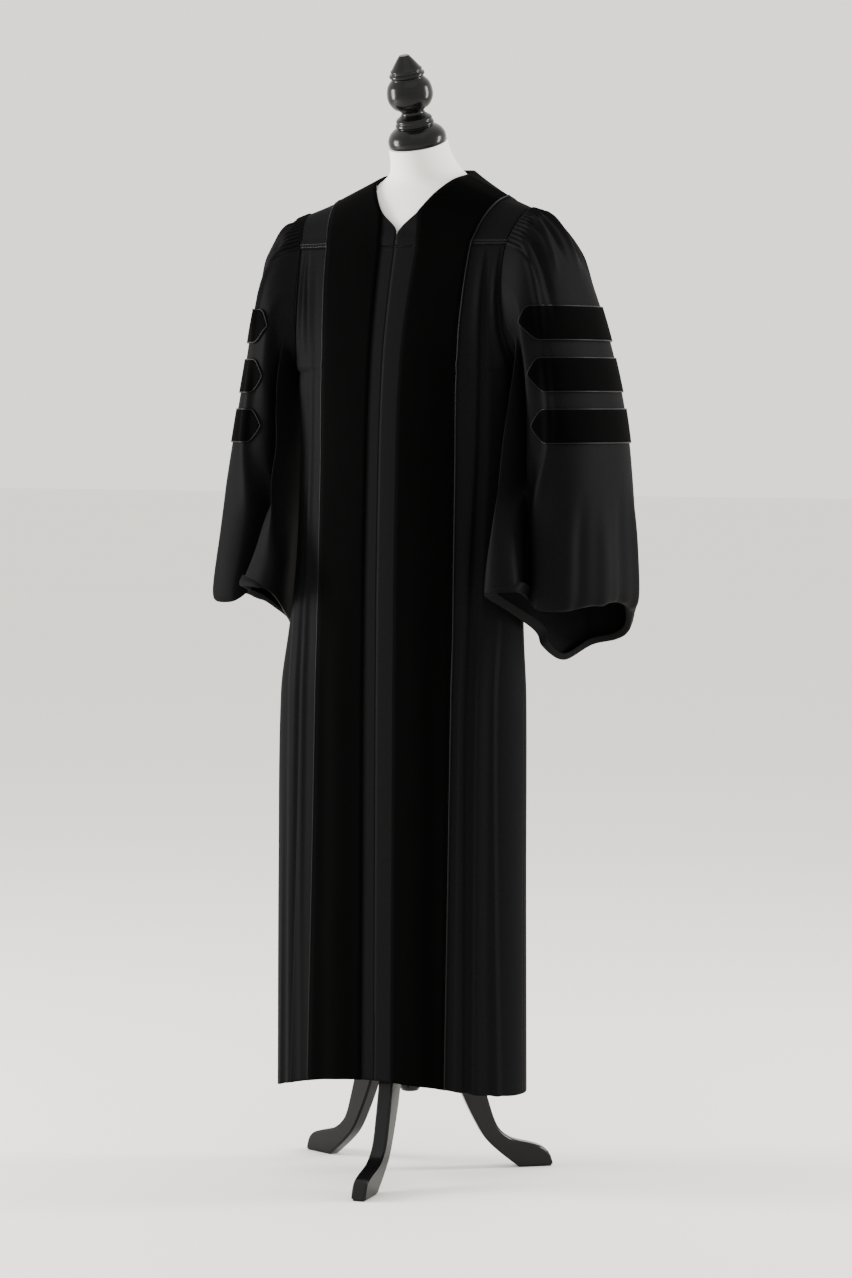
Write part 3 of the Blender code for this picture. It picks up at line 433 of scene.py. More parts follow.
def side_spread(height, sign, first_x, shares, front):
    """Even steps round the curve from one x out to the section's edge."""
    edge_x = section_edge(sign, height, front)[0]
    power = (section_powers(height, front)[0] / 2) * np.ones_like(height)
    first = np.arcsin(np.minimum(1.0, (first_x / edge_x) ** power))
    angle = first[:, None] + (np.pi / 2 - first[:, None]) * shares[None, :]
    return edge_x[:, None] * np.sin(angle) ** (1 / power[:, None])


FRONT_ROWS = 230
TOP_ROWS = 26
TOP_PART = 0.94
CENTRE_STEPS, BAND_STEPS, PANEL_STEPS, FOLD_STEPS, SIDE_STEPS = 8, 14, 10, 7, 20


def row_parts(count):
    """Parts of the way up a panel, closest together near its top."""
    return np.concatenate((np.linspace(0.0, TOP_PART, count), np.linspace(TOP_PART, 1.0, TOP_ROWS)[1:]))


def front_panel(sign):
    """A front panel's outer face, hem first, and its columns at the velvet band's edges."""
    lines = FRONT_LINES[SIDE_NAMES[sign]]
    top = YOKE_HEIGHT - SEAM
    part = row_parts(FRONT_ROWS)
    pressed = np.minimum(1.0, (1.0 - part) / PLEAT_FADE)

    def at(place):
        low = hem_height(sign, place)
        return low + part * (top - low)

    def line(name):
        return column(lines, LINE_COLUMNS, name, at(LINE_PLACES[name]))

    reach = section_edge(sign, at(1.0), True)[0]
    strip, band = line("strip"), line("band")
    pleat_2 = np.minimum(line("pleat_2"), reach - SIDE_SPACE)
    pleat_1 = np.minimum(line("pleat_1"), pleat_2 - PLEAT_SPACE)
    bed = band - CORD_RADIUS - GAP
    start = np.full_like(part, 1.5 * GAP)
    marks = [(start, 0.0), (strip, 0.0), (bed, 0.0), (band, 0.0), (0.5 * (band + pleat_1), 0.0),
             (pleat_1, PLEAT_RISE), (pleat_1 + PLEAT_STEP, -PLEAT_DROP),
             (0.5 * (pleat_1 + PLEAT_STEP + pleat_2), -PLEAT_DIP),
             (pleat_2, PLEAT_RISE), (pleat_2 + PLEAT_STEP, -PLEAT_DROP)]
    counts = (CENTRE_STEPS, BAND_STEPS - 1, 1, PANEL_STEPS // 2, PANEL_STEPS, FOLD_STEPS,
              PANEL_STEPS, PANEL_STEPS, FOLD_STEPS)
    xs, rises, places = [start], [np.zeros_like(part)], [0]
    for (x_0, rise_0), (x_1, rise_1), count in zip(marks, marks[1:], counts):
        for step in range(1, count + 1):
            share = step / count
            xs.append(x_0 + (x_1 - x_0) * share)
            rises.append((rise_0 + (rise_1 - rise_0) * ease(share)) * pressed)
        places.append(len(xs) - 1)
    side_shares = np.linspace(0.0, 1.0, SIDE_STEPS + 1)[1:]
    side = side_spread(at(1.0), sign, pleat_2 + PLEAT_STEP, side_shares, True)
    for step, share in enumerate(side_shares):
        xs.append(side[:, step])
        rises.append(-PLEAT_DROP * pressed * (1.0 - share))
    x = np.stack(xs, axis=1)
    rise = np.stack(rises, axis=1)
    low = hem_height(sign, x / reach[:, None])
    height = low + part[:, None] * (top - low)
    grid = body_points(sign, x, height, True, rise)
    return long_folds(grid, FRONT_FOLDS, True), places[1], places[3]


# Rails of the yoke, front seam to shoulder: neckline, band's inner edge, band's outer edge
NECK_RAIL = (
    (0.00, 0.0004, -0.0820, 1.530),
    (0.15, 0.0030, -0.0720, 1.557),
    (0.40, 0.0325, -0.0645, 1.586),
    (0.60, 0.0520, -0.0450, 1.614),
    (0.80, 0.0690, -0.0130, 1.637),
    (1.00, 0.0770, 0.0280, 1.648),
)
BAND_RAIL = (
    (0.00, 0.1310, -0.0680, 1.530),
    (0.30, 0.1380, -0.0530, 1.561),
    (0.55, 0.1440, -0.0330, 1.584),
    (0.78, 0.1500, -0.0090, 1.6015),
    (1.00, 0.1550, 0.0180, 1.6110),
)
BAND_MEETS_NECK = 0.40
BACK_NECK_RAIL = (
    (0.00, 0.0770, 0.0280, 1.648),
    (0.35, 0.0700, 0.0660, 1.656),
    (0.65, 0.0420, 0.0930, 1.660),
    (1.00, 0.0004, 0.1030, 1.662),
)
BACK_BAND_RAIL = (
    (0.00, 0.1550, 0.0180, 1.6110),
    (0.30, 0.1480, 0.0640, 1.6010),
    (0.60, 0.1080, 0.1080, 1.5840),
    (0.80, 0.0580, 0.1300, 1.5730),
    (1.00, 0.0004, 0.1360, 1.5700),
)
BACK_CORNER_PLACE = 0.46
YOKE_BLEND = 0.18
YOKE_RAYS = 44
BACK_YOKE_RAYS = 60


def rail(rows, place):
    """Points on a rail: rows of place, x, y, z."""
    return smooth([row[0] for row in rows], [row[1:] for row in rows], place)


def yoke_grid(sign, inner, strip, band, outer):
    """Rays of a yoke, from the neckline out past the band to the outer seam."""
    width = band - strip
    length = np.maximum(np.linalg.norm(width, axis=1, keepdims=True), 1e-6)
    bed = band - width * (CORD_RADIUS + GAP) / length
    stops = (inner, strip, bed, band, outer)
    counts = (CENTRE_STEPS, BAND_STEPS - 1, 1, PANEL_STEPS + 6)
    columns = [inner]
    for here, there, count in zip(stops, stops[1:], counts):
        columns += [here + (there - here) * (step / count) for step in range(1, count + 1)]
    grid = np.stack(columns, axis=1)
    grid[..., 0] *= sign
    return grid


def front_yoke(sign):
    """A front yoke's outer face, from the yoke seam up to the shoulder seam."""
    place = np.linspace(0.0, 1.0, YOKE_RAYS)
    inner, band = rail(NECK_RAIL, place), rail(BAND_RAIL, place)
    outer = closed_curve(ARMHOLE, FRONT_CORNER * (1.0 - place)) - (SEAM, 0, 0)
    lines = FRONT_LINES[SIDE_NAMES[sign]]
    low_x = column(lines, LINE_COLUMNS, "strip", np.array([YOKE_HEIGHT]))
    low = body_points(1, low_x, np.array([YOKE_HEIGHT]), True, 0.0)[0]
    meeting = rail(NECK_RAIL, np.array([BAND_MEETS_NECK]))[0]
    share = np.minimum(place / BAND_MEETS_NECK, 1.0)[:, None]
    strip = np.where(place[:, None] >= BAND_MEETS_NECK, inner, low + (meeting - low) * share)
    grid = yoke_grid(sign, inner, strip, band, outer)

    def seam_points(row):
        return body_points(sign, np.abs(row[:, 0]), np.full(len(row), YOKE_HEIGHT), True, 0.0)

    grid[0] = seam_points(grid[0])
    blend = ease(place / YOKE_BLEND)[:, None]
    level = np.stack([seam_points(row) for row in grid])
    grid[..., 1] = (grid[..., 1] * blend
                    + np.minimum(grid[..., 1], level[..., 1]) * (1.0 - blend))
    return grid


def back_yoke(sign):
    """Half the back yoke's outer face, from the shoulder seam round to the middle of the back."""
    place = np.linspace(0.0, 1.0, BACK_YOKE_RAYS)
    inner, band = rail(BACK_NECK_RAIL, place), rail(BACK_BAND_RAIL, place)
    count = CONTROLS - (CONTROLS - BACK_CORNER) * np.minimum(place / BACK_CORNER_PLACE, 1.0)
    outer = closed_curve(ARMHOLE, count) - (SEAM, 0, 0)
    corner_x = ARMHOLE[BACK_CORNER][0] - SEAM
    share = np.clip((1.0 - place) / (1.0 - BACK_CORNER_PLACE), 0.0, 1.0)
    x = np.maximum(1.5 * GAP, share * corner_x)
    seam = body_points(1, x, np.full_like(x, BACK_YOKE_HEIGHT), False, 0.0)
    outer = np.where(place[:, None] < BACK_CORNER_PLACE, outer, seam)
    return yoke_grid(sign, inner, inner, band, outer)


def outward(grid, normals):
    """Normals turned to face away from the body's axis."""
    out = grid - (0.0, 0.01, 0.0)
    out[..., 2] = np.where(grid[..., 2] > YOKE_HEIGHT, 0.05, 0.0)
    normals[np.sum(normals * out, axis=2) < 0] *= -1
    return normals


def placed(grid):
    """Points moved to where the whole part stands."""
    return grid + (0.0, STAND_Y, 0.0)


def ride(piece, node=None):
    """A piece rides on the stand, and may stand for a solid."""
    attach(piece, "root")
    if node:
        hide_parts(node)


def dress(piece, node):
    """A cloth piece rides on the stand and stands for its solid."""
    ride(piece, node)


PANELS = {}
for sign in (1, -1):
    side = SIDE_NAMES[sign]
    panel, band_in, band_out = front_panel(sign)
    panel_normals = outward(panel, grid_normals(panel))
    piece = cloth_shell("gown_front_" + side, placed(panel), panel_normals, CLOTH, SUITING)
    dress(piece, "front_" + side)
    yoke = front_yoke(sign)
    behind = back_yoke(sign)
    joined = np.concatenate((yoke, behind[1:]))
    joined_normals = outward(joined, grid_normals(joined))
    yoke_normals = joined_normals[:YOKE_RAYS]
    piece = cloth_shell("gown_front_yoke_" + side, placed(yoke), yoke_normals, CLOTH, SUITING)
    dress(piece, "front_yoke_" + side)
    PANELS[sign] = (panel, panel_normals, joined, joined_normals, band_in, band_out)

whole_yoke, whole_normals = (
    np.concatenate((left[YOKE_RAYS - 1:], right[YOKE_RAYS - 1:][::-1]))
    for left, right in zip(PANELS[1][2:4], PANELS[-1][2:4]))
piece = cloth_shell("gown_back_yoke", placed(whole_yoke), whole_normals, CLOTH, SUITING)
dress(piece, "back_yoke")

# Back: one piece, gathered by hand into the back yoke's seam and falling free to the hem.

BACK_GATHERS = 10
GATHER_DEPTH = 0.0050
GATHER_REACH = 0.165
GATHER_FADE = 0.03
GATHER_SPREAD = 0.10
GATHER_SIDE_SPACE = 0.012
BACK_ROWS = 210
GATHER_COLUMNS = 12
BACK_SIDE_COLUMNS = 14
FINE_GATHER = 0.0013
FINE_GATHER_LENGTH = 0.10
FINE_GATHER_TURNS = 3.0
FINE_GATHER_SWAY = 0.31
FINE_GATHER_SWAY_PACE = 5.0
LAST_GATHER_FADE = 0.25


def back_half(sign):
    """Half the back's outer face, from the middle out to the side, hem first."""
    top = BACK_YOKE_HEIGHT - SEAM
    part = row_parts(BACK_ROWS)
    height = HEM_BACK + part * (top - HEM_BACK)
    pressed = np.minimum(1.0, (1.0 - part) / GATHER_FADE)
    side_height = HEM_SIDES[sign] + part * (top - HEM_SIDES[sign])
    edge_x = section_edge(sign, side_height, False)[0]
    reach = np.minimum(GATHER_REACH * (1.0 + GATHER_SPREAD * (1.0 - part)), edge_x - GATHER_SIDE_SPACE)
    steps = BACK_GATHERS * GATHER_COLUMNS // 2
    turn = np.arange(steps + 1) / GATHER_COLUMNS
    x = reach[:, None] * (np.arange(steps + 1) / steps)[None, :]
    end_fade = 1.0 - ease((turn - turn[-1] + LAST_GATHER_FADE) / LAST_GATHER_FADE)
    wave = np.cos(2 * np.pi * turn)[None, :] * end_fade[None, :]
    near = np.exp(-(top - height) / FINE_GATHER_LENGTH)[:, None] * pressed[:, None]
    sway = FINE_GATHER_SWAY * np.sin(FINE_GATHER_SWAY_PACE * turn)
    fine = np.cos(2 * np.pi * (FINE_GATHER_TURNS * turn + sway))[None, :] * end_fade[None, :]
    rise = GATHER_DEPTH * wave * pressed[:, None] + FINE_GATHER * fine * near
    side_shares = np.linspace(0.0, 1.0, BACK_SIDE_COLUMNS + 1)[1:]
    side = side_spread(side_height, sign, reach, side_shares, False)
    x = np.concatenate((x, side), axis=1)
    rise = np.concatenate((rise, np.zeros_like(side)), axis=1)
    low = hem_height(sign, x / edge_x[:, None], HEM_BACK)
    grid = body_points(sign, x, low + part[:, None] * (top - low), False, rise)
    return long_folds(grid, BACK_FOLDS, False)


left_back, right_back = back_half(1), back_half(-1)
back_grid = np.concatenate((left_back[:, ::-1], right_back[:, 1:]), axis=1)
back_normals = outward(back_grid, grid_normals(back_grid))
piece = cloth_shell("gown_back", placed(back_grid), back_normals, CLOTH, SUITING)
dress(piece, "back")

# Velvet bands: short-pile black velvet, 95 mm wide, one down each front from the back of the neck
# to the hem, laid on the cloth and edge-stitched under the cord.

VELVET_BLACK = "#010101"
# Lighter colour of the painted sheen: streaks where the pile would catch the light, painted into the
# velvet's colour
VELVET_SHEEN_STREAK = "#030303"


def velvet_material():
    """Short-pile velvet: almost no shine face on, a thin grey bloom where the pile turns away, and
    painted sheen streaks in its colour.
    """
    material, tree, shader = plain_material(
        "short-pile black velvet", Roughness=0.92, Sheen_Weight=0.010, Sheen_Roughness=0.30,
        Specular_IOR_Level=0.02, Sheen_Tint=linear("#A8A8AE"))
    uv = coordinates(tree, "UV")
    # Painted sheen: stretched noise streaks lighten the base colour where the pile would catch the light
    sheen_streaks = noise(tree, turned(tree, uv, Scale=(1.0, 0.25, 1.0)), 26.0, 4.0, Roughness=0.6)
    blended(tree, shader, sheen_streaks, VELVET_BLACK, VELVET_SHEEN_STREAK)
    raised(tree, shader, noise(tree, uv, 900.0, 1.0), 0.25, 0.0004)
    return material


VELVET_CLOTH = velvet_material()
CORD_PATHS = {}
for sign in (1, -1):
    side = SIDE_NAMES[sign]
    panel, panel_normals, joined, joined_normals, band_in, band_out = PANELS[sign]
    lane = slice(band_in, band_out + 1)
    under = np.concatenate((panel[:-1, lane], joined[:, lane]))
    normals = np.concatenate((panel_normals[:-1, lane], joined_normals[:, lane]))
    velvet = under[:, :-1] + normals[:, :-1] * (GAP + VELVET)
    velvet[-1, :, 0] = sign * np.maximum(np.abs(velvet[-1, :, 0]), 1.5 * GAP)
    piece = cloth_shell("velvet_facing_" + side, placed(velvet), normals[:, :-1], VELVET, VELVET_CLOTH)
    dress(piece, "velvet_band_" + side)
    CORD_PATHS[side] = placed(under[:, -1] + normals[:, -1] * (CORD_RADIUS + GAP))

# Piping: a black satin cord, 3 mm thick, sewn along the outer edge of each velvet band.

PIPING_BLACK = "#060607"


def piping_material():
    """Satin piping: a filled bias tube, smoother and shinier than the cloth beside it."""
    material, tree, shader = plain_material(
        "black satin piping", Roughness=0.42, Specular_IOR_Level=0.08,
        Base_Color=linear(PIPING_BLACK))
    raised(tree, shader, noise(tree, coordinates(tree), 420.0), 0.15, 0.0003)
    return material


def path_tree(name, sockets):
    """A node tree for what follows a path: its named inputs, the material's among them."""
    tree = bpy.data.node_groups.new(name, "GeometryNodeTree")
    tree.interface.new_socket("Geometry", in_out="INPUT", socket_type="NodeSocketGeometry")
    for label, kind in (*sockets, ("Material", "NodeSocketMaterial")):
        tree.interface.new_socket(label, in_out="INPUT", socket_type=kind)
    tree.interface.new_socket("Geometry", in_out="OUTPUT", socket_type="NodeSocketGeometry")
    ways_in = tree.nodes.new("NodeGroupInput").outputs
    path = add_node(tree, "GeometryNodeMeshToCurve", Mesh=ways_in["Geometry"]).outputs["Curve"]
    return tree, ways_in, path


def end_path_tree(tree, ways_in, pieces):
    """Make the pieces real, give them their material and send them out of the tree."""
    real = add_node(tree, "GeometryNodeRealizeInstances", Geometry=pieces).outputs["Geometry"]
    done = add_node(tree, "GeometryNodeSetMaterial", Geometry=real,
                    Material=ways_in["Material"]).outputs["Geometry"]
    add_node(tree, "NodeGroupOutput", Geometry=done)
    return tree


def piping_tree():
    """A round cord along a path."""
    tree, ways_in, path = path_tree("piping along a path", (("Radius", "NodeSocketFloat"),))
    ring = add_node(tree, "GeometryNodeCurvePrimitiveCircle", {"Resolution": 10},
                    Radius=ways_in["Radius"]).outputs["Curve"]
    cord = add_node(tree, "GeometryNodeCurveToMesh", {"Fill Caps": True}, Curve=path,
                    Profile_Curve=ring).outputs["Mesh"]
    return end_path_tree(tree, ways_in, cord)


def along_paths(name, paths, tree, **values):
    """Run a path tree over one or more paths of points and keep the result as a plain mesh."""
    points, edges = [], []
    for path, closed in paths:
        first = len(points)
        points += [tuple(point) for point in path]
        edges += [(place, place + 1) for place in range(first, len(points) - 1)]
        if closed:
            edges.append((len(points) - 1, first))
    line = bpy.data.meshes.new(name + " path")
    line.from_pydata(points, edges, [])
    worker = linked(name + " path", line)
    modifier = worker.modifiers.new(tree.name, "NODES")
    modifier.node_group = tree
    for item in tree.interface.items_tree:
        key = item.name.replace(" ", "_")
        if item.in_out == "INPUT" and key in values:
            modifier[item.identifier] = values[key]
    graph = bpy.context.evaluated_depsgraph_get()
    mesh = bpy.data.meshes.new_from_object(worker.evaluated_get(graph))
    bpy.data.objects.remove(worker)
    mesh.name = name
    mesh.shade_smooth()
    return linked(name, mesh)


SATIN = piping_material()
PIPING = piping_tree()
for side, path in CORD_PATHS.items():
    cord = along_paths("piping_" + side, [(path, False)], PIPING, Radius=CORD_RADIUS, Material=SATIN)
    ride(cord, "band_cord_" + side)

# Seam stitching: two rows of black polyester thread, three stitches to the centimetre, along each
# yoke seam, with a shine that the cloth hasn't.

STITCH_LENGTH = 0.0026
STITCH_PITCH = 0.0034
STITCH_RADIUS = 0.00035
THREAD_BLACK = "#202022"


def rows_tree():
    """A row of like pieces set along a path at an even pitch, each turned to the path."""
    tree, ways_in, path = path_tree(
        "pieces along a path", (("Pitch", "NodeSocketFloat"), ("Size", "NodeSocketVector")))
    spots = add_node(tree, "GeometryNodeResampleCurve", {"mode": "LENGTH"}, Curve=path,
                     Length=ways_in["Pitch"]).outputs["Curve"]
    bead = add_node(tree, "GeometryNodeMeshIcoSphere",
                    {"Radius": 0.5, "Subdivisions": 2}).outputs["Mesh"]
    way = add_node(tree, "GeometryNodeInputTangent").outputs["Tangent"]
    turn = add_node(tree, "FunctionNodeAlignRotationToVector", {"axis": "Z"},
                    Vector=way).outputs["Rotation"]
    row = add_node(tree, "GeometryNodeInstanceOnPoints", Points=spots, Instance=bead, Rotation=turn,
                   Scale=ways_in["Size"]).outputs["Instances"]
    return end_path_tree(tree, ways_in, row)


def thread_material():
    """Polyester sewing thread: twisted filament with a low sheen."""
    material, tree, shader = plain_material(
        "black polyester thread", Roughness=0.38, Base_Color=linear(THREAD_BLACK))
    raised(tree, shader, noise(tree, coordinates(tree), 1500.0), 0.2, 0.0001)
    return material


THREAD = thread_material()
ROWS = rows_tree()
for sign in (1, -1):
    panel, panel_normals, joined, joined_normals, band_in, band_out = PANELS[sign]
    yoke_edge = joined[:, band_out + 1:] + joined_normals[:, band_out + 1:] * STITCH_RADIUS
    paths = [(placed(yoke_edge[row]), False) for row in (1, 3)]
    stitches = along_paths("yoke_stitches_" + SIDE_NAMES[sign], paths, ROWS, Pitch=STITCH_PITCH,
                           Size=(STITCH_RADIUS * 2, STITCH_RADIUS * 2, STITCH_LENGTH), Material=THREAD)
    ride(stitches)

# Zip: a concealed coil zip on black woven tape, sewn behind the fronts' meeting edges.

ZIP_BOTTOM = 0.290
TAPE = 0.0010
COIL_SET_BACK = 0.0008
TOOTH_PITCH = 0.0030
TOOTH_SIZE = (0.0022, 0.0009, 0.0016)
left_panel, right_panel = PANELS[1][0], PANELS[-1][0]
first_row = np.searchsorted(left_panel[:, 0, 2], ZIP_BOTTOM)
width = CENTRE_STEPS // 2 + 1
tape, tape_normals = (
    np.concatenate((left[first_row:, :width][:, ::-1], right[first_row:, :width]), axis=1)
    for left, right in zip(PANELS[1][:2], PANELS[-1][:2]))
tape = tape - tape_normals * (CLOTH + GAP)
piece = cloth_shell("zip_tape_woven", placed(tape), tape_normals, TAPE, SUITING)
dress(piece, "zip_tape")
coil = placed(0.5 * (left_panel[first_row:, 0] + right_panel[first_row:, 0]))
coil[:, 1] += COIL_SET_BACK
teeth = along_paths("zip_coil", [(coil, False)], ROWS, Pitch=TOOTH_PITCH, Size=TOOTH_SIZE,
                    Material=THREAD)
ride(teeth)

# Sleeves: one wide bell each, its head drawn up in flutes by hand and its lower edge turned in.
# The cloth falls from the flutes in deep folds, and the front hangs as a loose flap, with its
# two rounded corners in the columns "near" and "far".

RING_COLUMNS = (
    "inner_x", "inner_z", "outer_x", "outer_z", "mid_y", "front_y", "back_y", "front_p", "fold_y",
    "ridge_p", "ridge_y", "far_p", "far_y", "near_p", "near_y",
)
SLEEVE_RINGS = (
    (0.2045, 1.322, 0.232, 1.577, 0.012, -0.088, 0.106, 0.52, -0.088,
     0.42, -0.087, 0.28, -0.078, 0.15, -0.064),
    (0.2065, 1.298, 0.264, 1.532, 0.020, -0.093, 0.124, 0.52, -0.093,
     0.38, -0.093, 0.25, -0.068, 0.12, -0.084),
    (0.2075, 1.262, 0.291, 1.455, 0.030, -0.089, 0.144, 0.52, -0.089,
     0.33, -0.088, 0.19, -0.048, 0.04, -0.099),
    (0.2080, 1.212, 0.314, 1.365, 0.038, -0.084, 0.160, 0.52, -0.084,
     0.27, -0.082, 0.14, -0.038, -0.02, -0.108),
    (0.2085, 1.150, 0.333, 1.268, 0.044, -0.086, 0.170, 0.50, -0.086,
     0.22, -0.080, 0.10, -0.046, -0.03, -0.120),
    (0.2090, 1.090, 0.345, 1.165, 0.044, -0.096, 0.176, 0.38, -0.100,
     0.17, -0.064, 0.15, -0.112, -0.035, -0.138),
    (0.2095, 1.030, 0.352, 1.070, 0.038, -0.111, 0.180, 0.39, -0.108,
     0.18, -0.078, 0.24, -0.148, -0.04, -0.158),
    (0.2110, 0.980, 0.358, 0.995, 0.030, -0.124, 0.180, 0.42, -0.120,
     0.24, -0.100, 0.30, -0.164, -0.04, -0.171),
    (0.2130, 0.940, 0.350, 0.940, 0.028, -0.120, 0.168, 0.43, -0.117,
     0.27, -0.104, 0.32, -0.163, -0.03, -0.170),
)
FLAP_FIRST_RING = 4
FLAP_RINGS = 2
FLAP_NEAR_SHIFT = 0.25
FLAP_FAR_SHIFT = 0.20
SLEEVE_HEM = (
    0.956, 0.956, 0.948, 0.950, 0.968, 0.986, 0.976,
    0.912, 0.882, 0.858, 0.880, 0.888, 0.906, 0.940,
)
HEM_RINGS = 2
HEM_TURN_IN = 0.015
HEM_TURN_UP = 0.009
RIGHT_SLEEVE_SHIFT = 0.014
SHIFT_FIRST_RING = 3
SHIFT_RINGS = 4
SHIFT_OUTER = 0.6
FLUTE_SEGMENTS = (12, 13, 0, 1)
FLUTES_PER_SEGMENT = 7
FLUTE_DEPTH = 0.0024
SOFT_FLUTE_DEPTH = 0.0020
FLUTE_WINDOW = (0.0, 0.10, 0.50, 0.55)
SOFT_FLUTE_WINDOW = (0.45, 0.4, 1.2, 1.3)
SOFT_FLUTE_SWAY = 1.3
SOFT_FLUTE_SWAY_PACE = 2.1
FLUTE_COLUMNS = 6
SLEEVE_COLUMNS = 13
HEAD_ROWS, HANG_ROWS, TURN_ROWS = 30, 104, 6

# Folds of the sleeve: where each starts and ends, as a place round the ring and a ring down the
# sleeve, its half width in places, and how far it stands out or in
CREASE_COLUMNS = ("place", "ring", "low_place", "low_ring", "width", "rise")
SLEEVE_CREASES = (
    (1.30, 0.6, 1.75, 3.2, 0.16, -0.0060),
    (0.75, 0.5, 1.15, 2.6, 0.14, 0.0050),
    (0.35, 0.5, 0.60, 2.4, 0.13, -0.0050),
    (-0.10, 0.4, 0.10, 2.8, 0.15, 0.0050),
    (-0.55, 0.5, -0.40, 2.6, 0.14, -0.0050),
    (-1.00, 0.4, -0.95, 2.8, 0.15, 0.0050),
    (-1.50, 0.6, -1.60, 3.2, 0.16, -0.0060),
    (1.80, 0.8, 2.55, 3.4, 0.16, 0.0050),
    (2.60, 3.0, 3.00, 6.5, 0.22, 0.0060),
    (1.60, 6.0, 1.70, 9.5, 0.22, -0.0050),
    (0.80, 6.2, 0.85, 9.5, 0.24, 0.0050),
    (0.10, 6.0, 0.05, 9.5, 0.22, -0.0050),
    (-0.70, 6.0, -0.80, 9.5, 0.24, 0.0060),
    (-1.50, 5.5, -1.70, 9.5, 0.25, -0.0060),
    (-2.40, 4.5, -2.60, 9.5, 0.25, 0.0070),
    (-3.20, 3.5, -3.30, 9.5, 0.20, -0.0070),
    (-4.00, 3.5, -4.10, 9.5, 0.22, 0.0060),
)


def ramp(index, first, count):
    """How far a ring is, from 0 to 1, on the way from one ring over a count of rings."""
    return min(1.0, max(0.0, (index - first) / count))


def sleeve_controls(sign):
    """The sleeve's rings, armhole first: each a closed row of fourteen points."""
    rings = [np.array(ARMHOLE) + (SEAM * 1.5, 0, 0)]
    last_straight = len(SLEEVE_RINGS) - 1 - HEM_RINGS
    for index, row in enumerate(SLEEVE_RINGS):
        ring = dict(zip(RING_COLUMNS, row))
        shift = flap = 0.0
        if sign < 0:
            shift = RIGHT_SLEEVE_SHIFT * ramp(index, SHIFT_FIRST_RING, SHIFT_RINGS)
            flap = ramp(index, FLAP_FIRST_RING, FLAP_RINGS)
        mid_y = ring["mid_y"]
        inner = np.array((ring["inner_x"] + shift, mid_y, ring["inner_z"]))
        outer = np.array((ring["outer_x"] + SHIFT_OUTER * shift, mid_y, ring["outer_z"]))
        front, back = ring["front_y"] - mid_y, ring["back_y"] - mid_y
        places = (
            (1.0, 0.0), (0.93, 0.5 * front), (0.75, 0.87 * front),
            (ring["front_p"], ring["fold_y"] - mid_y), (ring["ridge_p"], ring["ridge_y"] - mid_y),
            (ring["far_p"] - FLAP_FAR_SHIFT * flap, ring["far_y"] - mid_y),
            (ring["near_p"] - FLAP_NEAR_SHIFT * flap, ring["near_y"] - mid_y),
            (0.02, 0.28 * front), (0.0, 0.0), (0.05, 0.5 * back), (0.25, 0.87 * back),
            (0.5, back), (0.75, 0.87 * back), (0.93, 0.5 * back),
        )
        points = np.array([inner + (outer - inner) * share + (0, depth, 0)
                           for share, depth in places])
        points[:, 2] += ramp(index, last_straight, HEM_RINGS) * (SLEEVE_HEM - points[:, 2])
        rings.append(points)
    last = rings[-1]
    inward = last.mean(axis=0) - last
    inward[:, 2] = 0.0
    inward /= np.linalg.norm(inward, axis=1, keepdims=True)
    rings.append(last + inward * HEM_TURN_IN + (0, 0, HEM_TURN_UP))
    rings = np.array(rings)
    rings[..., 0] *= sign
    return rings


def sleeve_places():
    """Places round the sleeve, closest together on the fluted head."""
    places = []
    for segment in range(CONTROLS):
        fluted = segment in FLUTE_SEGMENTS
        steps = FLUTES_PER_SEGMENT * FLUTE_COLUMNS if fluted else SLEEVE_COLUMNS
        places += [segment + step / steps for step in range(steps)]
    return np.array(places)


def sleeve_normals(grid, sign):
    """Outward normals of a closed sleeve grid."""
    normals = grid_normals(grid, closed=True)
    return normals if sign > 0 else -normals


def window(levels, start, rise, end, fall):
    """1 between two levels down the sleeve, with a soft start and a soft end."""
    return ease((levels - start) / rise) * (1.0 - ease((levels - end) / fall))


def wrapped(places):
    """Places round the sleeve counted both ways from its shoulder tip."""
    return (places + CONTROLS / 2) % CONTROLS - CONTROLS / 2


def folded(grid, normals, levels, places):
    """Lift the flutes of the head and the folds below them."""
    phase = places * FLUTES_PER_SEGMENT
    fluted = np.isin(np.floor(places), FLUTE_SEGMENTS).astype(float)
    tube = 2.0 * np.abs(np.sin(np.pi * phase)) - 1.0
    rise = FLUTE_DEPTH * window(levels, *FLUTE_WINDOW)[:, None] * (tube * fluted)[None, :]
    sway = SOFT_FLUTE_SWAY * np.sin(places * SOFT_FLUTE_SWAY_PACE)
    soft = np.cos(np.pi * phase * 2 / 3 + sway)
    rise += (SOFT_FLUTE_DEPTH * window(levels, *SOFT_FLUTE_WINDOW)[:, None]
             * (soft * fluted)[None, :])
    for row in SLEEVE_CREASES:
        crease = dict(zip(CREASE_COLUMNS, row))
        part = (levels - crease["ring"]) / (crease["low_ring"] - crease["ring"])
        middle = crease["place"] + (crease["low_place"] - crease["place"]) * np.clip(part, 0, 1)
        fade = ease(part * 3.0) * ease((1.0 - part) * 3.0)
        away = wrapped(wrapped(places)[None, :] - middle[:, None])
        rise += crease["rise"] * fade[:, None] * np.exp(-(away / crease["width"]) ** 2)
    return grid + normals * rise[..., None]


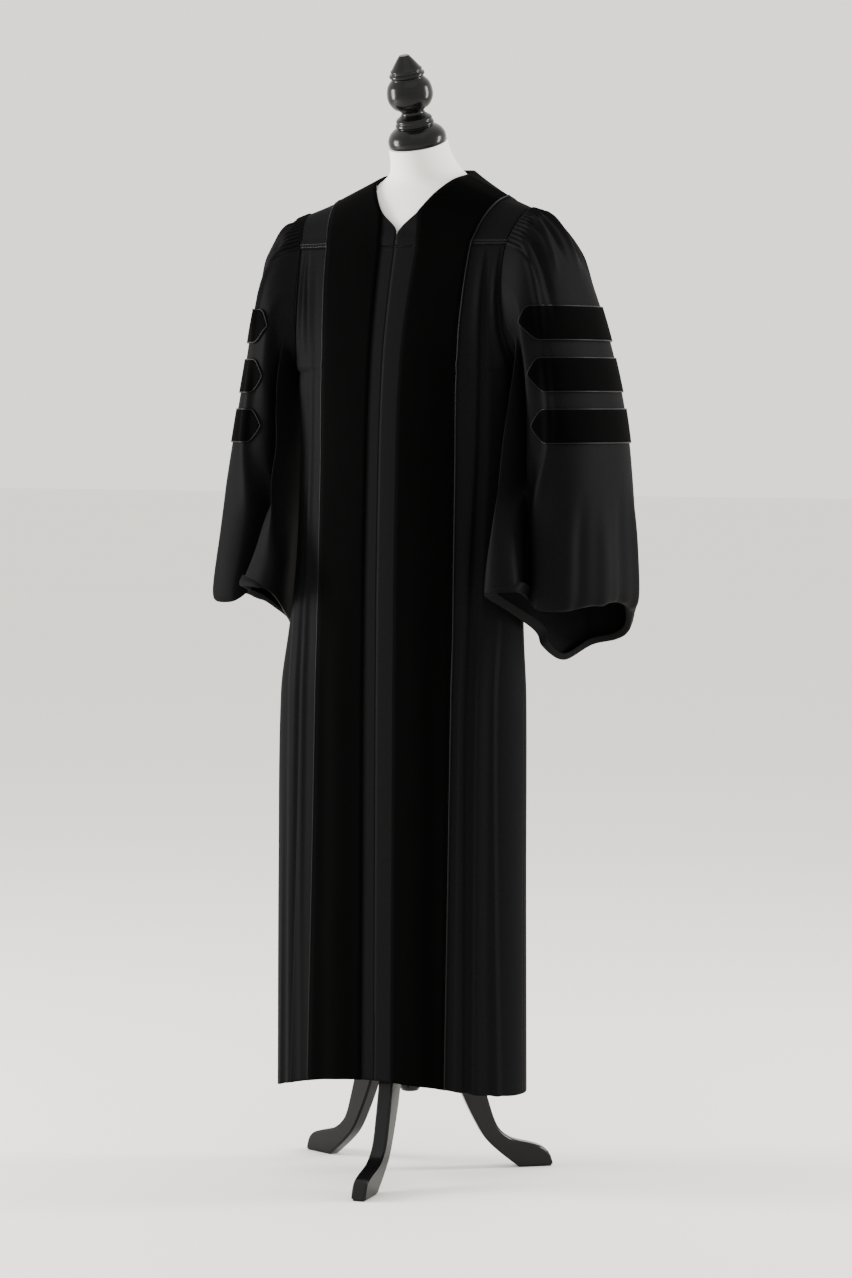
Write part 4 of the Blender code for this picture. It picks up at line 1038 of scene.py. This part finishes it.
SLEEVES = {}
for sign in (1, -1):
    side = SIDE_NAMES[sign]
    controls = sleeve_controls(sign)
    levels = np.concatenate((np.linspace(0, 1, HEAD_ROWS), np.linspace(1, 9, HANG_ROWS)[1:],
                             np.linspace(9, 10, TURN_ROWS)[1:]))
    places = sleeve_places()
    base = closed_curve(smooth(np.arange(len(controls)), controls, levels), places)
    base_normals = sleeve_normals(base, sign)
    grid = folded(base, base_normals, levels, places)
    normals = sleeve_normals(grid, sign)
    piece = cloth_shell("gown_sleeve_" + side, placed(grid), normals, CLOTH, SUITING, closed=True)
    dress(piece, "sleeve_" + side)
    SLEEVES[sign] = (grid, normals, places)

# Sleeve bars: three velvet bars with pointed ends round the outer face of each sleeve, backed and
# edge-stitched, each with a fine satin cord round its edge.

BAR_COLUMNS = ("height", "front_end", "back_end", "stand_off")
SLEEVE_BARS = (
    (1.404, 3.67, -3.0, 0.0016),
    (1.322, 3.67, -3.0, 0.0008),
    (1.240, 3.67, -3.0, 0.0008),
)
BAR_HALF_HEIGHT = 0.027
BAR_POINT = 0.026
BAR_TIP = 0.05
BAR_POINT_POWER = 0.85
BAR_ROWS = 9
BAR_SEARCH = slice(HEAD_ROWS - 4, HEAD_ROWS + HANG_ROWS - 12)
BAR_CORD = 0.0012
CORD_SEAT = 0.6


def travelled(points):
    """How far each point lies along a line through the points."""
    return np.concatenate(([0.0], np.cumsum(np.linalg.norm(np.diff(points, axis=0), axis=1))))


def bar_grid(grid, normals, places, bar):
    """The sleeve's own surface behind a bar: rows from its top edge to its lower one."""
    round_place = wrapped(places)
    picked = np.nonzero((round_place >= bar["back_end"]) & (round_place <= bar["front_end"]))[0]
    picked = picked[np.argsort(round_place[picked])]
    stack = np.concatenate((grid, normals), axis=2)[BAR_SEARCH][:, picked]

    def at(level, place):
        line = stack[::-1, place]
        return np.array([np.interp(level, line[:, 2], line[:, item]) for item in range(6)])

    middle = np.array([at(bar["height"], place) for place in range(len(picked))])
    run = travelled(middle[:, :3])
    end = np.minimum(1.0, np.minimum(run, run[-1] - run) / BAR_POINT)
    swell = np.sin(0.5 * np.pi * end) ** BAR_POINT_POWER
    half = BAR_HALF_HEIGHT * (BAR_TIP + (1.0 - BAR_TIP) * swell)
    shares = np.linspace(1.0, -1.0, BAR_ROWS)
    rows = np.array([[at(bar["height"] + share * half[place], place) for place in range(len(picked))]
                     for share in shares])
    out = rows[..., 3:] / np.linalg.norm(rows[..., 3:], axis=2, keepdims=True)
    return rows[..., :3], out


for sign in (1, -1):
    side = SIDE_NAMES[sign]
    for number, row in enumerate(SLEEVE_BARS, 1):
        bar = dict(zip(BAR_COLUMNS, row))
        under, out = bar_grid(*SLEEVES[sign], bar)
        face = under + out * (bar["stand_off"] + VELVET)
        name = "sleeve_bar_%s_%d" % (side, number)
        piece = cloth_shell("velvet_" + name, placed(face), out, VELVET, VELVET_CLOTH)
        dress(piece, name)
        edge = under + out * (bar["stand_off"] + CORD_SEAT * VELVET)
        outline = np.concatenate((edge[0], edge[1:-1, -1], edge[-1][::-1], edge[1:-1, 0][::-1]))
        cord = along_paths("bar_piping_%s_%d" % (side, number), [(placed(outline), True)], PIPING,
                           Radius=BAR_CORD, Material=SATIN)
        ride(cord)

# Dress form: a limbless torso with a leaning neck, moulded smooth and covered in pale jersey.

JERSEY_PALE = "#EFEDE9"
JERSEY_SHADE = "#E6E4DF"
FORM_COLUMNS = ("height", "middle_y", "half_width", "half_depth", "tilt")
FORM_SECTIONS = (
    (0.905, -0.030, 0.145, 0.085, 0.0),
    (0.940, -0.028, 0.158, 0.094, 0.0),
    (1.020, -0.020, 0.160, 0.098, 0.0),
    (1.120, -0.012, 0.150, 0.098, 0.0),
    (1.250, 0.000, 0.165, 0.107, 0.0),
    (1.400, 0.014, 0.174, 0.110, 0.0),
    (1.500, 0.022, 0.178, 0.099, 0.0),
    (1.5687, 0.026, 0.172, 0.089, 0.0),
    (1.6007, 0.028, 0.152, 0.079, 0.0),
    (1.6207, 0.030, 0.118, 0.071, 0.04),
    (1.6387, 0.030, 0.083, 0.063, 0.12),
    (1.656, 0.025, 0.060, 0.057, 0.24),
    (1.678, 0.011, 0.0500, 0.0510, 0.33),
    (1.700, 0.000, 0.0475, 0.0500, 0.36),
)
ROUND = np.linspace(0.0, 2 * np.pi, 96, endpoint=False)
FORM_ROWS = 150
SHARP_ANGLE = math.radians(50.0)


def jersey_material():
    """Stretched cotton jersey: matt and off-white, with a fine even knit."""
    material, tree, shader = plain_material(
        "pale cotton jersey", Roughness=0.85, Sheen_Weight=0.15, Sheen_Roughness=0.6,
        Specular_IOR_Level=0.25)
    place = coordinates(tree)
    blended(tree, shader, noise(tree, place, 7.0), JERSEY_PALE, JERSEY_SHADE)
    raised(tree, shader, noise(tree, place, 1100.0, 1.0), 0.08, 0.0003)
    return material


def capped_rings(name, rings, material):
    """A closed solid through rings of points, with a flat cap at each end."""
    tall, wide = rings.shape[:2]
    points = rings.reshape(-1, 3).tolist()
    faces = []
    for row in range(tall - 1):
        for place in range(wide):
            here, there = row * wide + place, row * wide + (place + 1) % wide
            faces.append((here, there, there + wide, here + wide))
    for row in (0, tall - 1):
        points.append(rings[row].mean(axis=0).tolist())
        middle = len(points) - 1
        faces += [(row * wide + place, row * wide + (place + 1) % wide, middle) for place in range(wide)]
    mesh = bpy.data.meshes.new(name)
    mesh.from_pydata(points, [], faces)
    finish_mesh(mesh, 1e-6, material)
    mesh.set_sharp_from_angle(angle=SHARP_ANGLE)
    return linked(name, mesh)


JERSEY = jersey_material()
heights = np.linspace(FORM_SECTIONS[0][0], FORM_SECTIONS[-1][0], FORM_ROWS)
form = {name: column(FORM_SECTIONS, FORM_COLUMNS, name, heights)[:, None] for name in FORM_COLUMNS[1:]}
depth = form["half_depth"] * np.sin(ROUND)[None, :]
rings = np.stack((form["half_width"] * np.cos(ROUND)[None, :], form["middle_y"] + depth,
                  heights[:, None] + form["tilt"] * depth), axis=2)
ride(capped_rings("dress_form_jersey", placed(rings), JERSEY), "dress_form")

# Neck cap with finial, hub, post and legs: turned and sawn beech, sanded and finished in black
# gloss lacquer, and a black enamelled steel post.

LACQUER_BLACK = "#070708"
LACQUER_GRAIN = "#0d0d0e"
NECK_LEAN = math.radians(20.0)
FINIAL_PROFILE = (
    (0.0460, 0.0000), (0.0478, 0.0050), (0.0470, 0.0130), (0.0420, 0.0215), (0.0330, 0.0285),
    (0.0300, 0.0300), (0.0318, 0.0330), (0.0305, 0.0365), (0.0295, 0.0380), (0.0298, 0.0410),
    (0.0278, 0.0440), (0.0230, 0.0475), (0.0192, 0.0520), (0.0205, 0.0565), (0.0300, 0.0630),
    (0.0365, 0.0740), (0.0377, 0.0850), (0.0345, 0.0990), (0.0265, 0.1095), (0.0265, 0.1110),
    (0.0290, 0.1140), (0.0285, 0.1175), (0.0255, 0.1195), (0.0260, 0.1235), (0.0235, 0.1260),
    (0.0150, 0.1380), (0.0080, 0.1470), (0.0, 0.1530),
)
STAND_X = -0.015
POST_RADIUS = 0.0160
POST_BOTTOM = 0.330
HUB_PROFILE = (
    (0.0160, 0.3297), (0.0260, 0.3250), (0.0300, 0.3160), (0.0270, 0.3060), (0.0270, 0.1900),
    (0.0290, 0.1840), (0.0290, 0.1740), (0.0200, 0.1640), (0.0150, 0.1560), (0.0170, 0.1500),
    (0.0180, 0.1430), (0.0140, 0.1360), (0.0, 0.1340),
)
LEG_AZIMUTHS = {"front": 7.0, "left": 128.0, "right": -108.0}
LEG_THICKNESS = 0.0250
LEG_TOP_EDGE = (
    (0.0275, 0.2860), (0.0540, 0.2800), (0.0820, 0.2560), (0.1040, 0.2120), (0.1190, 0.1600),
    (0.1320, 0.1135), (0.1480, 0.0700), (0.1720, 0.0490), (0.2100, 0.0380), (0.2290, 0.0300),
    (0.2380, 0.0180), (0.2430, 0.0),
)
LEG_LOWER_EDGE = (
    (0.1840, 0.0), (0.1500, 0.0270), (0.1270, 0.0500), (0.1080, 0.0820), (0.0880, 0.1240),
    (0.0720, 0.1640), (0.0520, 0.1930), (0.0275, 0.2050),
)
LEG_EDGE_ROUND = 0.0030
LEG_TOP_STEPS, LEG_LOWER_STEPS = 44, 34
FINIAL_STEPS, HUB_STEPS = 220, 160


def lacquer_material():
    """Gloss lacquer on beech: deep black, mirror-like at a glance, the grain just felt beneath."""
    material, tree, shader = plain_material(
        "black gloss lacquer on beech", Roughness=0.24, Specular_IOR_Level=0.12, Coat_Weight=0.12,
        Coat_Roughness=0.10)
    grain = noise(tree, turned(tree, coordinates(tree), Scale=(1.0, 1.0, 0.12)), 260.0, 3.0)
    blended(tree, shader, grain, LACQUER_BLACK, LACQUER_GRAIN)
    raised(tree, shader, grain, 0.05, 0.0003)
    return material


def smooth_outline(rows, steps):
    """A smooth open line through rows of two measures."""
    run = travelled(rows)
    return smooth(run, rows, np.linspace(0.0, run[-1], steps))


def turned_rings(profile, steps):
    """Rings of a turned piece: a smooth profile of radius and height, spun round its own axis."""
    fine = smooth_outline([row for row in profile if row[0] > 0.0], steps)
    return np.stack((fine[:, :1] * np.cos(ROUND), fine[:, :1] * np.sin(ROUND),
                     fine[:, 1:] * np.ones_like(ROUND)), axis=2)


LACQUER = lacquer_material()
lean = np.array(((1, 0, 0), (0, math.cos(NECK_LEAN), -math.sin(NECK_LEAN)),
                 (0, math.sin(NECK_LEAN), math.cos(NECK_LEAN))))
cap = (turned_rings(FINIAL_PROFILE, FINIAL_STEPS) + (0, 0, GAP)) @ lean.T
cap = cap + (0, 0, FORM_SECTIONS[-1][0])
hub = turned_rings(HUB_PROFILE, HUB_STEPS) + (STAND_X, 0, 0)
post_top = FORM_SECTIONS[0][0] - GAP
post = turned_rings(((POST_RADIUS, POST_BOTTOM), (POST_RADIUS, post_top)), 2) + (STAND_X, 0, 0)
for name, rings, slot, node in (
    ("finial_lacquered", cap, "black_lacquer", "neck_cap"),
    ("hub_lacquered", hub, "black_lacquer", "hub"),
    ("post_enamelled", post, "post_metal", "post"),
):
    ride(capped_rings(name, placed(rings), LACQUER), node)


def build_leg(name, azimuth):
    """One sawn leg: the outline between its two flat faces, with eased edges."""
    outline = np.concatenate((smooth_outline(LEG_TOP_EDGE, LEG_TOP_STEPS),
                              smooth_outline(LEG_LOWER_EDGE, LEG_LOWER_STEPS)))
    work = bmesh.new()
    side = [work.verts.new((reach, -0.5 * LEG_THICKNESS, height)) for reach, height in outline]
    grown = bmesh.ops.extrude_face_region(work, geom=[work.faces.new(side)])
    moved = [item for item in grown["geom"] if isinstance(item, bmesh.types.BMVert)]
    bmesh.ops.translate(work, verts=moved, vec=(0.0, LEG_THICKNESS, 0.0))
    bmesh.ops.recalc_face_normals(work, faces=work.faces)
    rims = [edge for edge in work.edges if edge.calc_face_angle(0.0) > math.radians(60.0)]
    bmesh.ops.bevel(work, geom=rims, offset=LEG_EDGE_ROUND, segments=3, affect="EDGES",
                    clamp_overlap=True)
    angle = math.radians(azimuth - 90.0)
    for corner in work.verts:
        x, y = corner.co.x, corner.co.y
        corner.co.x = x * math.cos(angle) - y * math.sin(angle) + STAND_X
        corner.co.y = x * math.sin(angle) + y * math.cos(angle) + STAND_Y
    mesh = bpy.data.meshes.new("leg_lacquered_" + name)
    work.to_mesh(mesh)
    work.free()
    mesh.materials.append(LACQUER)
    mesh.shade_smooth()
    mesh.set_sharp_from_angle(angle=math.radians(40.0))
    ride(linked(mesh.name, mesh), "leg_" + name)


for name, azimuth in LEG_AZIMUTHS.items():
    build_leg(name, azimuth)

# Studio: a wide pale floor, a large soft light on the camera's left and a smaller one behind on
# its right, and a camera at the height of the chest.

PAPER_PALE = "#F6F3EE"
PAPER_SHADE = "#F3F0EA"
FLOOR_REACH = 40.0
FLOOR_DROP = -0.0005
LIGHT_COLUMNS = ("name", "spot", "aim", "size", "power")
SOFT_BOXES = (
    ("key soft box", (-3.8, -1.7, 1.7), (0.0, 0.0, 1.1), (1.3, 2.4), 420.0),
    ("rim soft box", (2.7, 1.7, 2.0), (0.2, 0.0, 1.25), (0.6, 2.0), 150.0),
    ("top soft box", (0.8, -1.6, 4.6), (0.0, 0.2, 0.6), (3.0, 3.0), 16.0),
)
WALL_COLOUR = "#F2F0EC"
WALL_STRENGTH = 1.85
LENS_MM = 97.1
SENSOR_MM = 36.0
CAMERA_AZIMUTH = math.radians(27.0)
CAMERA_DISTANCE = 5.6725
CAMERA_ASIDE = 0.0131
CAMERA_HEIGHT = 1.2715
CAMERA_DOWN = math.radians(3.859)


def paper_material():
    """Matt paper on the floor, with no pattern of its own beyond a faint unevenness."""
    material, tree, shader = plain_material(
        "pale background paper", Roughness=0.95, Specular_IOR_Level=0.1)
    blended(tree, shader, noise(tree, coordinates(tree), 0.6, 1.0), PAPER_PALE, PAPER_SHADE)
    return material


def build_floor():
    """A wide flat pale floor that meets the pale surroundings far away."""
    reach = FLOOR_REACH
    points = [(-reach, -reach, FLOOR_DROP), (reach, -reach, FLOOR_DROP),
              (reach, reach, FLOOR_DROP), (-reach, reach, FLOOR_DROP)]
    mesh = bpy.data.meshes.new("pale_floor")
    mesh.from_pydata(points, [], [(0, 1, 2, 3)])
    mesh.materials.append(paper_material())
    linked("pale_floor", mesh)


def soft_light(box):
    """A soft box: an area light aimed at a point."""
    lamp = bpy.data.lights.new(box["name"], "AREA")
    lamp.shape = "RECTANGLE"
    lamp.size, lamp.size_y = box["size"]
    lamp.energy = box["power"]
    thing = linked(box["name"], lamp)
    thing.location = box["spot"]
    way = Vector(box["aim"]) - Vector(box["spot"])
    thing.rotation_euler = way.to_track_quat("-Z", "Y").to_euler()


def build_studio():
    """Lights, surrounding light and the camera."""
    for row in SOFT_BOXES:
        soft_light(dict(zip(LIGHT_COLUMNS, row)))
    world = bpy.data.worlds.new("studio walls")
    bpy.context.scene.world = world
    world.use_nodes = True
    wall = world.node_tree.nodes["Background"]
    wall.inputs["Color"].default_value = linear(WALL_COLOUR)
    wall.inputs["Strength"].default_value = WALL_STRENGTH
    camera = bpy.data.cameras.new("photo camera")
    camera.sensor_fit = "VERTICAL"
    camera.sensor_height = SENSOR_MM
    camera.lens = LENS_MM
    camera.clip_end = 1.5 * FLOOR_REACH
    thing = linked("photo camera", camera)
    across, along = math.cos(CAMERA_AZIMUTH), math.sin(CAMERA_AZIMUTH)
    thing.location = (
        CAMERA_DISTANCE * along + CAMERA_ASIDE * across,
        CAMERA_ASIDE * along - CAMERA_DISTANCE * across + STAND_Y, CAMERA_HEIGHT)
    thing.rotation_euler = (math.radians(90.0) - CAMERA_DOWN, 0.0, CAMERA_AZIMUTH)
    bpy.context.scene.camera = thing


build_floor()
build_studio()
